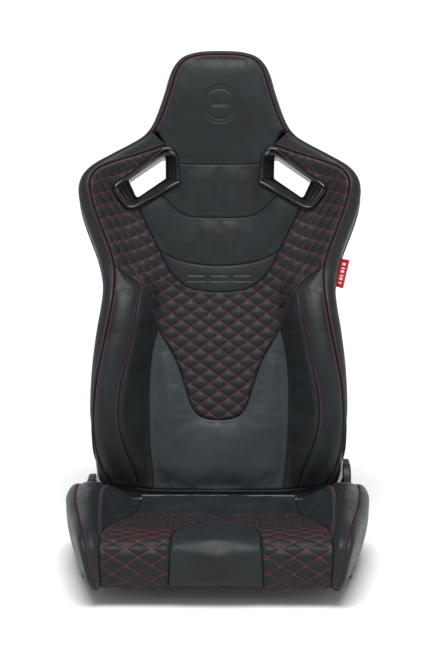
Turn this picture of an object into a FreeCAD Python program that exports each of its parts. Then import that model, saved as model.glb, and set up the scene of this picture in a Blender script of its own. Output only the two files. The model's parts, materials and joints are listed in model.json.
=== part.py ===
"""Reclining bucket seat, as a parametric FreeCAD document.

Millimetres. Row frame: +X to the sitter's left, the seat faces -Y, +Z up.
The origin is the centre of the four mounting holes, on the underside of the rails.
The backrest is modelled flat in its own frame and placed on the recline axis:
u runs across the seat (+X), v up along the backrest, w out of its front.
"""
import FreeCAD, Part
import math
import os
import Sketcher
from FreeCAD import Placement, Rotation, Vector

DIMENSIONS = {
    # whole seat
    "recline": 20,
    "hinge_y": 205,
    "hinge_z": 62,
    # rails and their mounting holes
    "rail_x": 170,
    "rail_wide": 30,
    "rail_tall": 20,
    "rail_wall": 2,
    "rail_front": -165,
    "rail_rear": 175,
    "bolt_span_x": 340,
    "bolt_span_y": 290,
    "hole_r": 4.25,
    "nut_bore_r": 4,
    "nut_wide": 14,
    "nut_tall": 6.5,
    # base frame
    "tube_r": 11,
    "tube_wall": 2,
    "tube_z": 31,
    "tube_y": 150,
    "plate_thick": 4,
    "side_in": 223.5,
    "side_low": 12,
    "side_top": 50,
    "side_rear": 168,
    # recliner stack, outward from the backrest arm
    "arm_in": 211.2,
    "disc_thick": 6,
    "disc_r": 30,
    "disc_gap": 0.2,
    "head_r": 31,
    "shaft_r": 6,
    "shaft_fit": 0.05,
    "shaft_free": 0.7,
    "cover_in": 232,
    "cover_out": 245,
    "cover_wall": 2.5,
    "cover_top": 66,
    "cover_low_top": 36,
    # fasteners
    "bolt_r": 5,
    "bolt_fit": 0.25,
    "bolt_head_r": 9,
    "bolt_head": 5.5,
    "bolt_long": 18,
    "bolt_nut": 7,
    "bolt_z": 30,
    "bolt_y_front": 100,
    "bolt_y_rear": 127,
    "arm_bolt_r": 4,
    "arm_bolt_head_r": 7,
    "arm_bolt_head": 4.6,
    "arm_bolt_fit": 0.2,
    "arm_bolt_long": 36,
    "arm_nut": 6.4,
    "arm_bolt_low": 75,
    "arm_bolt_high": 118,
    "screw_r": 1.75,
    "screw_head_r": 4,
    "screw_head": 2,
    "screw_long": 16,
    "screw_low_y": 150,
    "screw_low_z": 30,
    "screw_high_y": 170,
    "screw_high_z": 60,
    "boss_r": 5,
    # release lever
    "lever_in": 248,
    "lever_thick": 3,
    "lever_reach": 80,
    "lever_half": 9,
    "lever_hub_r": 16,
    "lever_nut": 5,
    "lever_nut_r": 11,
    "grip_wide": 11,
    "grip_tall": 24,
    # seat suspension
    "wire_r": 1.9,
    "spring_pitch": 18.19,
    "spring_half": 17,
    "spring_turn_r": 8,
    "spring_lift": 5,
    "seat_spring_step": 80,
    "back_spring_step": 68,
    "back_spring_low": 140,
    "clip_wall": 1.6,
    "clip_long": 12,
    # backrest frame
    "hoop_x": 200,
    "hoop_w": -15,
    "hoop_low": 40,
    "hoop_waist": 375,
    "hoop_shoulder_x": 236,
    "hoop_shoulder": 590,
    "hoop_neck_x": 104,
    "hoop_neck": 690,
    "hoop_top_x": 74,
    "hoop_top": 826,
    "hoop_bend_r": 42,
    "cross_r": 9,
    # upholstery
    "pad_half": 142,
    "pad_front_half": 190,
    "pad_gap": 0.3,
    "tail_front": 110.3,
    "tail_rear": 129,
    "centre_half": 128,
    "yoke_half": 98,
    "shell_depth": 42,
    "shell_wall": 3,
    "shell_round": 7,
    "bezel_flange": 4,
    "bezel_wall": 3,
    "bezel_face": 46,
    "bezel_split": -18,
    "tag_thick": 1.2,
}

ORIGIN = Vector(0, 0, 0)
SIDES = (("left", -1), ("right", 1))
SPRING_ROWS = 4
SEAT_SPRING_TURNS = 14
BACK_SPRING_TURNS = 18

doc = FreeCAD.newDocument("racing_seat")
sheet = doc.addObject("Spreadsheet::Sheet", "dims")
for row, (name, value) in enumerate(DIMENSIONS.items(), start=1):
    sheet.set(f"A{row}", name)
    sheet.set(f"B{row}", str(value))
    sheet.setAlias(f"B{row}", name)
doc.recompute()

parts = []


# ---------------------------------------------------------------- helpers

def new_body(label, in_backrest=False):
    """An empty body in the row frame, or in the backrest's own frame."""
    body = doc.addObject("PartDesign::Body", label)
    body.Label = label
    if in_backrest:
        lean = Rotation(Vector(1, 0, 0), 90 - DIMENSIONS["recline"])
        body.Placement = Placement(ORIGIN, lean)
        body.setExpression("Placement.Rotation.Angle", "90 - dims.recline")
        body.setExpression("Placement.Base.y", "dims.hinge_y")
        body.setExpression("Placement.Base.z", "dims.hinge_z")
    parts.append(body)
    return body


def new_sketch(body, plane, lift="0"):
    """A sketch on one of the body's origin planes, lifted along its normal."""
    sketch = body.newObject("Sketcher::SketchObject", "sketch")
    features = body.Origin.OriginFeatures
    support = next(item for item in features if item.Role == plane)
    sketch.AttachmentSupport = [(support, "")]
    sketch.MapMode = "FlatFace"
    sketch.setExpression("AttachmentOffset.Base.z", lift)
    return sketch


def value_of(sketch, size):
    return float(sketch.evalExpression(str(size)))


def bind(sketch, constraint, size):
    """Add a dimension to a sketch and tie it to the sheet."""
    index = sketch.addConstraint(constraint)
    if isinstance(size, str):
        sketch.setExpression(f"Constraints[{index}]", size)


def bind_point(sketch, geometry, end, across, up, point):
    bind(sketch, Sketcher.Constraint("DistanceX", -1, 1, geometry, end, point.x), across)
    bind(sketch, Sketcher.Constraint("DistanceY", -1, 1, geometry, end, point.y), up)


def corner_arc(before, corner, after, radius):
    """Tangent points and centre of the arc that rounds a corner."""
    back = (before - corner).normalize()
    ahead = (after - corner).normalize()
    half_angle = back.getAngle(ahead) / 2
    reach = radius / math.tan(half_angle)
    centre = corner + (back + ahead).normalize() * (radius / math.sin(half_angle))
    return corner + back * reach, corner + ahead * reach, centre


def draw_outline(sketch, corners, closed=True):
    """Straight runs through corners (across, up[, radius]), rounded where asked."""
    points = [Vector(value_of(sketch, c[0]), value_of(sketch, c[1]), 0) for c in corners]
    count = len(points)
    runs = count if closed else count - 1
    guides = []
    for i in range(runs):
        line = Part.LineSegment(points[i], points[(i + 1) % count])
        guides.append(sketch.addGeometry(line, True))
    for i in range(runs - 1):
        sketch.addConstraint(Sketcher.Constraint("Coincident", guides[i], 2, guides[i + 1], 1))
    if closed:
        sketch.addConstraint(Sketcher.Constraint("Coincident", guides[-1], 2, guides[0], 1))
    for i, corner in enumerate(corners):
        guide, end = (guides[i], 1) if i < runs else (guides[i - 1], 2)
        bind_point(sketch, guide, end, corner[0], corner[1], points[i])
    rounds = {}
    for i, corner in enumerate(corners):
        if len(corner) > 2:
            radius = value_of(sketch, corner[2])
            around = corner_arc(points[i - 1], points[i], points[(i + 1) % count], radius)
            rounds[i] = (*around, radius, corner[2])
    lines = []
    for i in range(runs):
        after = (i + 1) % count
        start = rounds[i][1] if i in rounds else points[i]
        stop = rounds[after][0] if after in rounds else points[after]
        line = sketch.addGeometry(Part.LineSegment(start, stop), False)
        lines.append(line)
        for end, rounded in ((1, i in rounds), (2, after in rounds)):
            if rounded:
                held = Sketcher.Constraint("PointOnObject", line, end, guides[i])
            else:
                held = Sketcher.Constraint("Coincident", line, end, guides[i], end)
            sketch.addConstraint(held)
    for i, (start, stop, centre, radius, size) in rounds.items():
        first = math.atan2(start.y - centre.y, start.x - centre.x)
        last = math.atan2(stop.y - centre.y, stop.x - centre.x)
        enter, leave = 1, 2
        if (last - first) % (2 * math.pi) > math.pi:
            first, last = last, first
            enter, leave = 2, 1
        sweep = (last - first) % (2 * math.pi)
        circle = Part.Circle(centre, Vector(0, 0, 1), radius)
        arc = sketch.addGeometry(Part.ArcOfCircle(circle, first, first + sweep), False)
        sketch.addConstraint(Sketcher.Constraint("Tangent", lines[i - 1], 2, arc, enter))
        sketch.addConstraint(Sketcher.Constraint("Tangent", arc, leave, lines[i], 1))
        bind(sketch, Sketcher.Constraint("Radius", arc, radius), size)


def draw_circle(sketch, across, up, size):
    centre = Vector(value_of(sketch, across), value_of(sketch, up), 0)
    radius = value_of(sketch, size)
    circle = sketch.addGeometry(Part.Circle(centre, Vector(0, 0, 1), radius), False)
    bind_point(sketch, circle, 3, across, up, centre)
    bind(sketch, Sketcher.Constraint("Radius", circle, radius), size)


def draw_box(sketch, low_x, low_y, high_x, high_y, radius=None):
    corners = [(low_x, low_y), (high_x, low_y), (high_x, high_y), (low_x, high_y)]
    if radius is not None:
        corners = [(x, y, radius) for x, y in corners]
    draw_outline(sketch, corners)


def mirrored(corners):
    """The corners followed by their mirror image across the middle, for a closed outline."""
    other = [(f"-({c[0]})",) + tuple(c[1:]) for c in reversed(corners)]
    return list(corners) + other


def inset(corners, wall, numbers):
    """Move each corner of a closed outline inward by the wall thickness."""
    points = [Vector(numbers(c[0]), numbers(c[1]), 0) for c in corners]
    count = len(points)
    area = sum(points[i - 1].x * points[i].y - points[i].x * points[i - 1].y
               for i in range(count))
    turn = 1 if area > 0 else -1
    moved = []
    for i, corner in enumerate(corners):
        back = (points[i] - points[i - 1]).normalize()
        ahead = (points[(i + 1) % count] - points[i]).normalize()
        normal_back = Vector(-back.y, back.x, 0) * turn
        normal_ahead = Vector(-ahead.y, ahead.x, 0) * turn
        shift = (normal_back + normal_ahead) * (1 / (1 + normal_back.dot(normal_ahead)))
        moved.append((f"{corner[0]} + ({shift.x:.4f}) * {wall}",
                      f"{corner[1]} + ({shift.y:.4f}) * {wall}") + tuple(corner[2:]))
    return moved


def slab(body, plane, middle, thick, draw):
    """Pad a sketch evenly to both sides of a plane at a given height."""
    sketch = new_sketch(body, plane, middle)
    draw(sketch)
    pad = body.newObject("PartDesign::Pad", "pad")
    pad.Profile = sketch
    pad.SideType = "Symmetric"
    pad.setExpression("Length", thick)
    doc.recompute()
    return pad


def cut(body, plane, middle, thick, draw):
    """Pocket a sketch evenly to both sides of a plane, and make sure that it removes metal."""
    volume = body.Shape.Volume
    sketch = new_sketch(body, plane, middle)
    draw(sketch)
    pocket = body.newObject("PartDesign::Pocket", "pocket")
    pocket.Profile = sketch
    pocket.SideType = "Symmetric"
    pocket.setExpression("Length", thick)
    doc.recompute()
    if body.Shape.Volume >= volume - 1e-3:
        raise RuntimeError(f"{body.Label}: a pocket removed nothing")
    return pocket


def tube_along(body, path_plane, path_lift, corners, mouth_plane, mouth_lift, mouth, radius, wall=None):
    """A round tube or wire along an open path of straight runs and bends."""
    path = new_sketch(body, path_plane, path_lift)
    draw_outline(path, corners, closed=False)
    profile = new_sketch(body, mouth_plane, mouth_lift)
    draw_circle(profile, mouth[0], mouth[1], radius)
    if wall is not None:
        draw_circle(profile, mouth[0], mouth[1], f"{radius} - {wall}")
    doc.recompute()
    pipe = body.newObject("PartDesign::AdditivePipe", "pipe")
    pipe.Profile = profile
    pipe.Spine = path
    doc.recompute()
    return pipe


def repeat(body, feature, axis, length, times):
    """Repeat a feature along one of the body's axes; the pattern becomes the tip."""
    pattern = body.newObject("PartDesign::LinearPattern", "pattern")
    pattern.Originals = [feature]
    features = body.Origin.OriginFeatures
    pattern.Direction = (next(item for item in features if item.Role == axis), [""])
    pattern.setExpression("Length", length)
    pattern.Occurrences = times
    body.Tip = pattern
    doc.recompute()
    return pattern


def round_edges(body, choose, radius):
    """Fillet the edges whose end points, in the body's own frame, all pass the test."""
    to_body = body.Placement.inverse()
    names = []
    for i, edge in enumerate(body.Shape.Edges, start=1):
        if all(choose(to_body.multVec(vertex.Point)) for vertex in edge.Vertexes):
            names.append(f"Edge{i}")
    base = body.Tip
    fillet = body.newObject("PartDesign::Fillet", "fillet")
    fillet.Base = (base, names)
    fillet.setExpression("Radius", radius)
    doc.recompute()
    return fillet


def zigzag(start, pitch, half, turns):
    """Corners (along, across, radius) of a flat zigzag wire."""
    corners = [(start, "0")]
    for i in range(turns):
        side = "" if i % 2 else "-"
        for step in (i, i + 1):
            corners.append((f"{start} + {pitch} * {step + 0.5}", f"{side}{half}", "dims.spring_turn_r"))
    corners.append((f"{start} + {pitch} * {turns + 1}", "0"))
    return corners


def swapped(corners):
    return [(c[1], c[0]) + tuple(c[2:]) for c in corners]


# ---------------------------------------------------------------- base frame

def make_rail(name, sign):
    rail = new_body(f"base_rail_{name}")
    low = f"{sign} * dims.rail_x - dims.rail_wide / 2"
    high = f"{sign} * dims.rail_x + dims.rail_wide / 2"
    middle = "-(dims.rail_front + dims.rail_rear) / 2"
    length = "dims.rail_rear - dims.rail_front"

    def tube(sketch):
        draw_box(sketch, low, "0", high, "dims.rail_tall")
        draw_box(sketch, f"{low} + dims.rail_wall", "dims.rail_wall",
                 f"{high} - dims.rail_wall", "dims.rail_tall - dims.rail_wall")

    def holes(sketch):
        for end in (-1, 1):
            draw_circle(sketch, f"{sign} * dims.bolt_span_x / 2",
                        f"{end} * dims.bolt_span_y / 2", "dims.hole_r")

    slab(rail, "XZ_Plane", middle, length, tube)
    cut(rail, "XY_Plane", "0", "dims.rail_wall * 3", holes)


def make_weld_nuts():
    nuts = new_body("weld_nuts")

    def draw(sketch):
        for x_sign in (-1, 1):
            for y_sign in (-1, 1):
                x = f"{x_sign} * dims.bolt_span_x / 2"
                y = f"{y_sign} * dims.bolt_span_y / 2"
                draw_box(sketch, f"{x} - dims.nut_wide / 2", f"{y} - dims.nut_wide / 2",
                         f"{x} + dims.nut_wide / 2", f"{y} + dims.nut_wide / 2")
                draw_circle(sketch, x, y, "dims.nut_bore_r")

    slab(nuts, "XY_Plane", "dims.rail_wall + dims.nut_tall / 2", "dims.nut_tall", draw)


def make_cross_tube(label, sign):
    tube = new_body(label)

    def ring(sketch):
        draw_circle(sketch, f"{sign} * dims.tube_y", "dims.tube_z", "dims.tube_r")
        draw_circle(sketch, f"{sign} * dims.tube_y", "dims.tube_z", "dims.tube_r - dims.tube_wall")

    slab(tube, "YZ_Plane", "0", "dims.side_in * 2", ring)


def make_side_plate(name, sign):
    plate = new_body(f"base_side_plate_{name}")

    def outline(sketch):
        draw_outline(sketch, [
            ("dims.rail_front", "dims.side_low", "6"),
            ("dims.side_rear", "dims.side_low", "6"),
            ("dims.side_rear", "dims.side_top - 8", "6"),
            ("dims.side_rear - 20", "dims.side_top", "12"),
            ("dims.rail_front + 20", "dims.side_top", "12"),
            ("dims.rail_front", "dims.side_top - 8", "6"),
        ])

    def bolt_holes(sketch):
        for y in ("dims.bolt_y_front", "dims.bolt_y_rear"):
            draw_circle(sketch, y, "dims.bolt_z", "dims.bolt_r + dims.bolt_fit")

    middle = f"{sign} * (dims.side_in + dims.plate_thick / 2)"
    slab(plate, "YZ_Plane", middle, "dims.plate_thick", outline)
    cut(plate, "YZ_Plane", middle, "dims.plate_thick * 2", bolt_holes)


def make_seat_springs():
    springs = new_body("seat_springs")
    first = "-1.5 * dims.seat_spring_step"
    start = "-(dims.tube_y - dims.tube_r - dims.clip_wall - 1)"
    height = "dims.tube_z + dims.spring_lift"
    route = swapped(zigzag(start, "dims.spring_pitch", "dims.spring_half", SEAT_SPRING_TURNS))
    shifted = [(f"{first} + {c[0]}",) + tuple(c[1:]) for c in route]
    pipe = tube_along(springs, "XY_Plane", height, shifted,
                      "XZ_Plane", f"-({start})", (first, height), "dims.wire_r")
    repeat(springs, pipe, "X_Axis", f"dims.seat_spring_step * {SPRING_ROWS - 1}", SPRING_ROWS)


def make_seat_spring_clips():
    clips = new_body("seat_spring_clips")

    def rings(sketch):
        for sign in (-1, 1):
            y = f"{sign} * dims.tube_y"
            draw_circle(sketch, y, "dims.tube_z", "dims.tube_r + dims.clip_wall")
            draw_circle(sketch, y, "dims.tube_z", "dims.tube_r")

    pad = slab(clips, "YZ_Plane", "-1.5 * dims.seat_spring_step", "dims.clip_long", rings)
    repeat(clips, pad, "X_Axis", f"dims.seat_spring_step * {SPRING_ROWS - 1}", SPRING_ROWS)


# ---------------------------------------------------------------- recliners

def draw_at_screws(sketch, radius):
    """Circles at the two screws that hold each cover to its bracket."""
    draw_circle(sketch, "dims.screw_low_y", "dims.screw_low_z", radius)
    draw_circle(sketch, "dims.screw_high_y", "dims.screw_high_z", radius)


def draw_at_arm_bolts(sketch, radius):
    """Circles at the two bolts that hold each arm to the hoop."""
    draw_circle(sketch, "dims.arm_bolt_low", "dims.hoop_w", radius)
    draw_circle(sketch, "dims.arm_bolt_high", "dims.hoop_w", radius)


def make_recliner_bracket(name, sign):
    bracket = new_body(f"recliner_bracket_{name}")
    inner = "dims.side_in + dims.plate_thick"
    middle = f"{sign} * ({inner} + dims.plate_thick / 2)"

    def strip(sketch):
        draw_outline(sketch, [
            ("86", "16", "6"),
            ("dims.hinge_y + 5", "26", "14"),
            ("dims.hinge_y + 20", "dims.hinge_z", "20"),
            ("dims.hinge_y - 15", "dims.hinge_z + 25", "12"),
            ("142", "50", "14"),
            ("86", "46", "6"),
        ])

    def head(sketch):
        draw_circle(sketch, "dims.hinge_y", "dims.hinge_z", "dims.head_r")

    def shaft_hole(sketch):
        draw_circle(sketch, "dims.hinge_y", "dims.hinge_z", "dims.shaft_r + dims.shaft_free")

    def screw_holes(sketch):
        for y in ("dims.bolt_y_front", "dims.bolt_y_rear"):
            draw_circle(sketch, y, "dims.bolt_z", "dims.bolt_r + dims.bolt_fit")
        draw_at_screws(sketch, "dims.screw_r")

    slab(bracket, "YZ_Plane", middle, "dims.plate_thick", strip)
    slab(bracket, "YZ_Plane", middle, "dims.plate_thick", head)
    cut(bracket, "YZ_Plane", middle, "dims.plate_thick * 2", shaft_hole)
    cut(bracket, "YZ_Plane", middle, "dims.plate_thick * 2", screw_holes)


def make_disc(label, sign, inner, bore, in_backrest):
    """One half of a sealed round recliner."""
    disc = new_body(label, in_backrest)
    x, y = ("0", "0") if in_backrest else ("dims.hinge_y", "dims.hinge_z")
    middle = f"{sign} * ({inner} + dims.disc_thick / 2)"

    def ring(sketch):
        draw_circle(sketch, x, y, "dims.disc_r")
        draw_circle(sketch, x, y, bore)

    slab(disc, "YZ_Plane", middle, "dims.disc_thick", ring)


def make_bracket_bolts():
    """Four hexagon-socket bolts that hold the recliner brackets to the side plates."""
    bolts = new_body("bracket_bolts")
    nuts = new_body("bracket_nuts")
    outer = "(dims.side_in + dims.plate_thick * 2)"
    spots = ("dims.bolt_y_front", "dims.bolt_y_rear")

    def shanks(sketch):
        for y in spots:
            draw_circle(sketch, y, "dims.bolt_z", "dims.bolt_r")

    def heads(sketch):
        for y in spots:
            draw_circle(sketch, y, "dims.bolt_z", "dims.bolt_head_r")

    def nut_rings(sketch):
        for y in spots:
            draw_circle(sketch, y, "dims.bolt_z", "dims.bolt_head_r")
            draw_circle(sketch, y, "dims.bolt_z", "dims.bolt_r")

    for sign in (-1, 1):
        slab(bolts, "YZ_Plane", f"{sign} * ({outer} - dims.bolt_long / 2)", "dims.bolt_long", shanks)
        slab(bolts, "YZ_Plane", f"{sign} * ({outer} + dims.bolt_head / 2)", "dims.bolt_head", heads)
        slab(nuts, "YZ_Plane", f"{sign} * (dims.side_in - dims.bolt_nut / 2)", "dims.bolt_nut", nut_rings)


def cover_outline(top):
    return [
        ("113", "10", "12"),
        ("dims.hinge_y + 55", "10", "36"),
        ("dims.hinge_y + 56", f"dims.hinge_z + {top}", "44"),
        ("dims.hinge_y - 46", f"dims.hinge_z + {top}", "30"),
        ("140", "60", "20"),
        ("113", "50", "12"),
    ]


def make_cover(name, sign):
    cover = new_body(f"recliner_cover_{name}")
    top = "dims.cover_top" if sign > 0 else "dims.cover_low_top"
    wide = "dims.cover_out - dims.cover_in"
    middle = f"{sign} * (dims.cover_out + dims.cover_in) / 2"
    slab(cover, "YZ_Plane", middle, wide, lambda s: draw_outline(s, cover_outline(top)))
    face = DIMENSIONS["cover_out"]
    round_edges(cover, lambda point: abs(point.x) > face - 0.01, "5")

    def hollow(sketch):
        numbers = lambda size: value_of(sketch, size)
        draw_outline(sketch, inset(cover_outline(top), "dims.cover_wall", numbers))

    cut(cover, "YZ_Plane", f"{sign} * (dims.cover_in + ({wide} - dims.cover_wall) / 2)",
        f"{wide} - dims.cover_wall", hollow)
    slab(cover, "YZ_Plane", middle, wide, lambda s: draw_at_screws(s, "dims.boss_r"))
    cut(cover, "YZ_Plane", middle, f"({wide}) * 2", lambda s: draw_at_screws(s, "dims.screw_r"))
    if sign > 0:
        cut(cover, "YZ_Plane", middle, f"({wide}) * 2",
            lambda s: draw_circle(s, "dims.hinge_y", "dims.hinge_z", "dims.shaft_r + 2"))


def make_cover_screws():
    screws = new_body("cover_screws")
    for sign in (-1, 1):
        slab(screws, "YZ_Plane", f"{sign} * (dims.cover_out - dims.screw_long / 2)",
             "dims.screw_long", lambda s: draw_at_screws(s, "dims.screw_r"))
        slab(screws, "YZ_Plane", f"{sign} * (dims.cover_out + dims.screw_head / 2)",
             "dims.screw_head", lambda s: draw_at_screws(s, "dims.screw_head_r"))


def make_release():
    shaft = new_body("recliner_shaft")
    low = "-(dims.side_in + dims.plate_thick * 2 + 2)"
    high = "dims.lever_in + dims.lever_thick + 4"
    slab(shaft, "YZ_Plane", f"({low} + {high}) / 2", f"{high} - {low}",
         lambda s: draw_circle(s, "dims.hinge_y", "dims.hinge_z", "dims.shaft_r"))

    lever = new_body("release_lever")
    middle = "dims.lever_in + dims.lever_thick / 2"
    slab(lever, "YZ_Plane", middle, "dims.lever_thick",
         lambda s: draw_circle(s, "dims.hinge_y", "dims.hinge_z", "dims.lever_hub_r"))
    slab(lever, "YZ_Plane", middle, "dims.lever_thick", lambda s: draw_box(
        s, "dims.hinge_y - dims.lever_reach", "dims.hinge_z - dims.lever_half",
        "dims.hinge_y", "dims.hinge_z + dims.lever_half", "8"))
    cut(lever, "YZ_Plane", middle, "dims.lever_thick * 2",
        lambda s: draw_circle(s, "dims.hinge_y", "dims.hinge_z", "dims.shaft_r"))

    grip = new_body("lever_grip")
    grip_middle = "dims.lever_in + dims.lever_thick / 2"
    tip = "(dims.hinge_y - dims.lever_reach)"
    grip_back = 1
    slab(grip, "YZ_Plane", f"dims.lever_in + dims.grip_wide / 2 - {grip_back}", "dims.grip_wide",
         lambda s: draw_box(s, f"{tip} - 6", "dims.hinge_z - dims.grip_tall / 2",
                            f"{tip} + 50", "dims.hinge_z + dims.grip_tall / 2", "9"))
    outer = DIMENSIONS["lever_in"] + DIMENSIONS["grip_wide"] - grip_back
    round_edges(grip, lambda point: point.x > outer - 0.01, "3")
    cut(grip, "YZ_Plane", grip_middle, "dims.lever_thick",
        lambda s: draw_outline(s, [
            (f"{tip}", "dims.hinge_z - dims.lever_half", "8"),
            (f"{tip} + 60", "dims.hinge_z - dims.lever_half"),
            (f"{tip} + 60", "dims.hinge_z + dims.lever_half"),
            (f"{tip}", "dims.hinge_z + dims.lever_half", "8")]))

    nut = new_body("lever_nut")
    slab(nut, "YZ_Plane", "dims.lever_in + dims.lever_thick + dims.lever_nut / 2",
         "dims.lever_nut", lambda s: [
        draw_circle(s, "dims.hinge_y", "dims.hinge_z", "dims.lever_nut_r"),
        draw_circle(s, "dims.hinge_y", "dims.hinge_z", "dims.shaft_r")])


def make_return_spring():
    """Torsion spring round the shaft that brings the lever back down."""
    coil_r = DIMENSIONS["shaft_r"] + 4
    pitch = 2.6
    turns = 3
    wire_r = 1
    start = DIMENSIONS["side_in"] + DIMENSIONS["plate_thick"] * 2 + wire_r + 0.4
    helix = Part.makeHelix(pitch, pitch * turns, coil_r)
    profile = Part.Wire(Part.makeCircle(wire_r, Vector(coil_r, 0, 0), Vector(0, 1, 0)))
    coil = Part.Wire(helix.Edges).makePipeShell([profile], True, True)
    spring = doc.addObject("Part::Feature", "lever_return_spring")
    spring.Label = "lever_return_spring"
    spring.Shape = coil
    across = Rotation(Vector(0, 1, 0), 90)
    hinge = Vector(start, DIMENSIONS["hinge_y"], DIMENSIONS["hinge_z"])
    spring.Placement = Placement(hinge, across)
    parts.append(spring)


# ---------------------------------------------------------------- cushion

def make_cushion_pad():
    pad = new_body("cushion_pad")
    slab(pad, "YZ_Plane", "0", "dims.pad_front_half * 2", lambda s: draw_outline(s, [
        ("154", "44", "4"),
        ("154", "74", "14"),
        ("30", "72", "400"),
        ("-222", "110", "60"),
        ("-291", "97", "34"),
        ("-281", "30", "20"),
        ("-178", "28", "6"),
        ("-174", "44", "4")]))
    corner = "dims.pad_half"
    beyond = "(dims.pad_front_half + 60)"
    for side in ("", "-"):
        cut(pad, "XY_Plane", "70", "160", lambda s: draw_outline(s, [
            (f"{side}{corner}", "dims.tail_front"),
            (f"{side}{corner}", "12"),
            (f"{side}dims.pad_front_half", "-126"),
            (f"{side}{beyond}", "-126"),
            (f"{side}{beyond}", "dims.tail_front")]))
        cut(pad, "XY_Plane", "70", "160", lambda s: draw_outline(s, [
            (f"{side}{corner}", "dims.tail_rear"),
            (f"{side}{beyond}", "dims.tail_rear"),
            (f"{side}{beyond}", "200"),
            (f"{side}{corner}", "200")]))


CUSHION_SECTIONS = (
    # y, inner foot, inner top, crest height, crest inner, crest outer, widest, its height,
    # hem, skirt, and the sill where the foam rests on the side plate
    (110, 142, 74, 92, 190, 230, 246, 66, 30, 238, 53),
    (72, 142, 73, 114, 200, 232, 252, 74, 22, 238, 53),
    (-30, 157, 74, 126, 203, 230, 254, 82, 20, 238, 53),
    (-126, 190, 88, 128, 205, 225, 246, 80, 20, 238, 53),
    (-215, 190, 106, 120, 200, 211, 229, 72, 22, 218, 53),
    (-284, 190, 66, 72, 193, 196, 200, 56, 36, 193, 42),
)
HEM_INSET = 4


def make_cushion_bolster(name, sign):
    """Loft of cross-sections; each one wraps over the side plate and down outside it."""
    bolster = new_body(f"cushion_bolster_{name}")
    sketches = []
    for y, foot, top, crest, crest_in, crest_out, widest, widest_z, hem, skirt, sill in CUSHION_SECTIONS:
        sketch = new_sketch(bolster, "XZ_Plane", f"{-y}")
        draw_outline(sketch, [
            (f"{sign} * ({foot} + dims.pad_gap)", str(sill)),
            (f"{sign} * ({foot} + dims.pad_gap)", str(top)),
            (f"{sign} * {crest_in}", str(crest)),
            (f"{sign} * {crest_out}", str(crest)),
            (f"{sign} * {widest}", str(widest_z)),
            (f"{sign} * ({widest} - {HEM_INSET})", str(hem)),
            (f"{sign} * {skirt}", str(hem)),
            (f"{sign} * {skirt}", str(sill))])
        sketches.append(sketch)
    doc.recompute()
    loft = bolster.newObject("PartDesign::AdditiveLoft", "loft")
    loft.Profile = sketches[0]
    loft.Sections = sketches[1:]
    loft.Ruled = True
    doc.recompute()


# ---------------------------------------------------------------- backrest frame

def hoop_half():
    return [
        ("dims.hoop_x", "dims.hoop_low"),
        ("dims.hoop_x", "dims.hoop_waist", "220"),
        ("dims.hoop_shoulder_x", "dims.hoop_shoulder", "dims.hoop_bend_r"),
        ("dims.hoop_neck_x", "dims.hoop_neck", "dims.hoop_bend_r"),
        ("dims.hoop_top_x", "dims.hoop_top", "dims.hoop_bend_r"),
    ]


def make_back_hoop():
    hoop = new_body("back_frame_hoop", True)
    tube_along(hoop, "XY_Plane", "dims.hoop_w", mirrored(hoop_half()),
               "XZ_Plane", "-dims.hoop_low", ("dims.hoop_x", "dims.hoop_w"),
               "dims.tube_r", "dims.tube_wall")
    cut(hoop, "YZ_Plane", "0", "dims.hoop_x * 2 + 60",
        lambda s: draw_at_arm_bolts(s, "dims.arm_bolt_r + dims.arm_bolt_fit"))


def make_back_cross_tube(label, height, half_long):
    tube = new_body(label, True)
    slab(tube, "YZ_Plane", "0", f"({half_long}) * 2", lambda s: [
        draw_circle(s, height, "dims.hoop_w", "dims.cross_r"),
        draw_circle(s, height, "dims.hoop_w", "dims.cross_r - dims.tube_wall")])


def make_headrest_plate():
    plate = new_body("headrest_plate", True)
    slab(plate, "XY_Plane", "dims.hoop_w", "2", lambda s: draw_outline(s, mirrored([
        ("dims.hoop_neck_x - 26", "dims.hoop_neck + 10"),
        ("dims.hoop_top_x - 12", "dims.hoop_top - 22", "8")])))


def make_back_springs():
    springs = new_body("back_springs", True)
    start = "-(dims.hoop_x - dims.tube_r - dims.clip_wall - 0.4)"
    pitch = f"(-({start}) * 2 / {BACK_SPRING_TURNS + 1})"
    route = zigzag(start, pitch, "dims.spring_half", BACK_SPRING_TURNS)
    shifted = [(c[0], f"dims.back_spring_low + {c[1]}") + tuple(c[2:]) for c in route]
    height = "dims.hoop_w + dims.spring_lift"
    pipe = tube_along(springs, "XY_Plane", height, shifted,
                      "YZ_Plane", start, ("dims.back_spring_low", height), "dims.wire_r")
    repeat(springs, pipe, "Y_Axis", f"dims.back_spring_step * {SPRING_ROWS - 1}", SPRING_ROWS)


def make_back_spring_clips():
    clips = new_body("back_spring_clips", True)

    def rings(sketch):
        for sign in (-1, 1):
            x = f"{sign} * dims.hoop_x"
            draw_circle(sketch, x, "dims.hoop_w", "dims.tube_r + dims.clip_wall")
            draw_circle(sketch, x, "dims.hoop_w", "dims.tube_r")

    pad = slab(clips, "XZ_Plane", "-dims.back_spring_low", "dims.clip_long", rings)
    repeat(clips, pad, "Y_Axis", f"dims.back_spring_step * {SPRING_ROWS - 1}", SPRING_ROWS)


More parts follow.
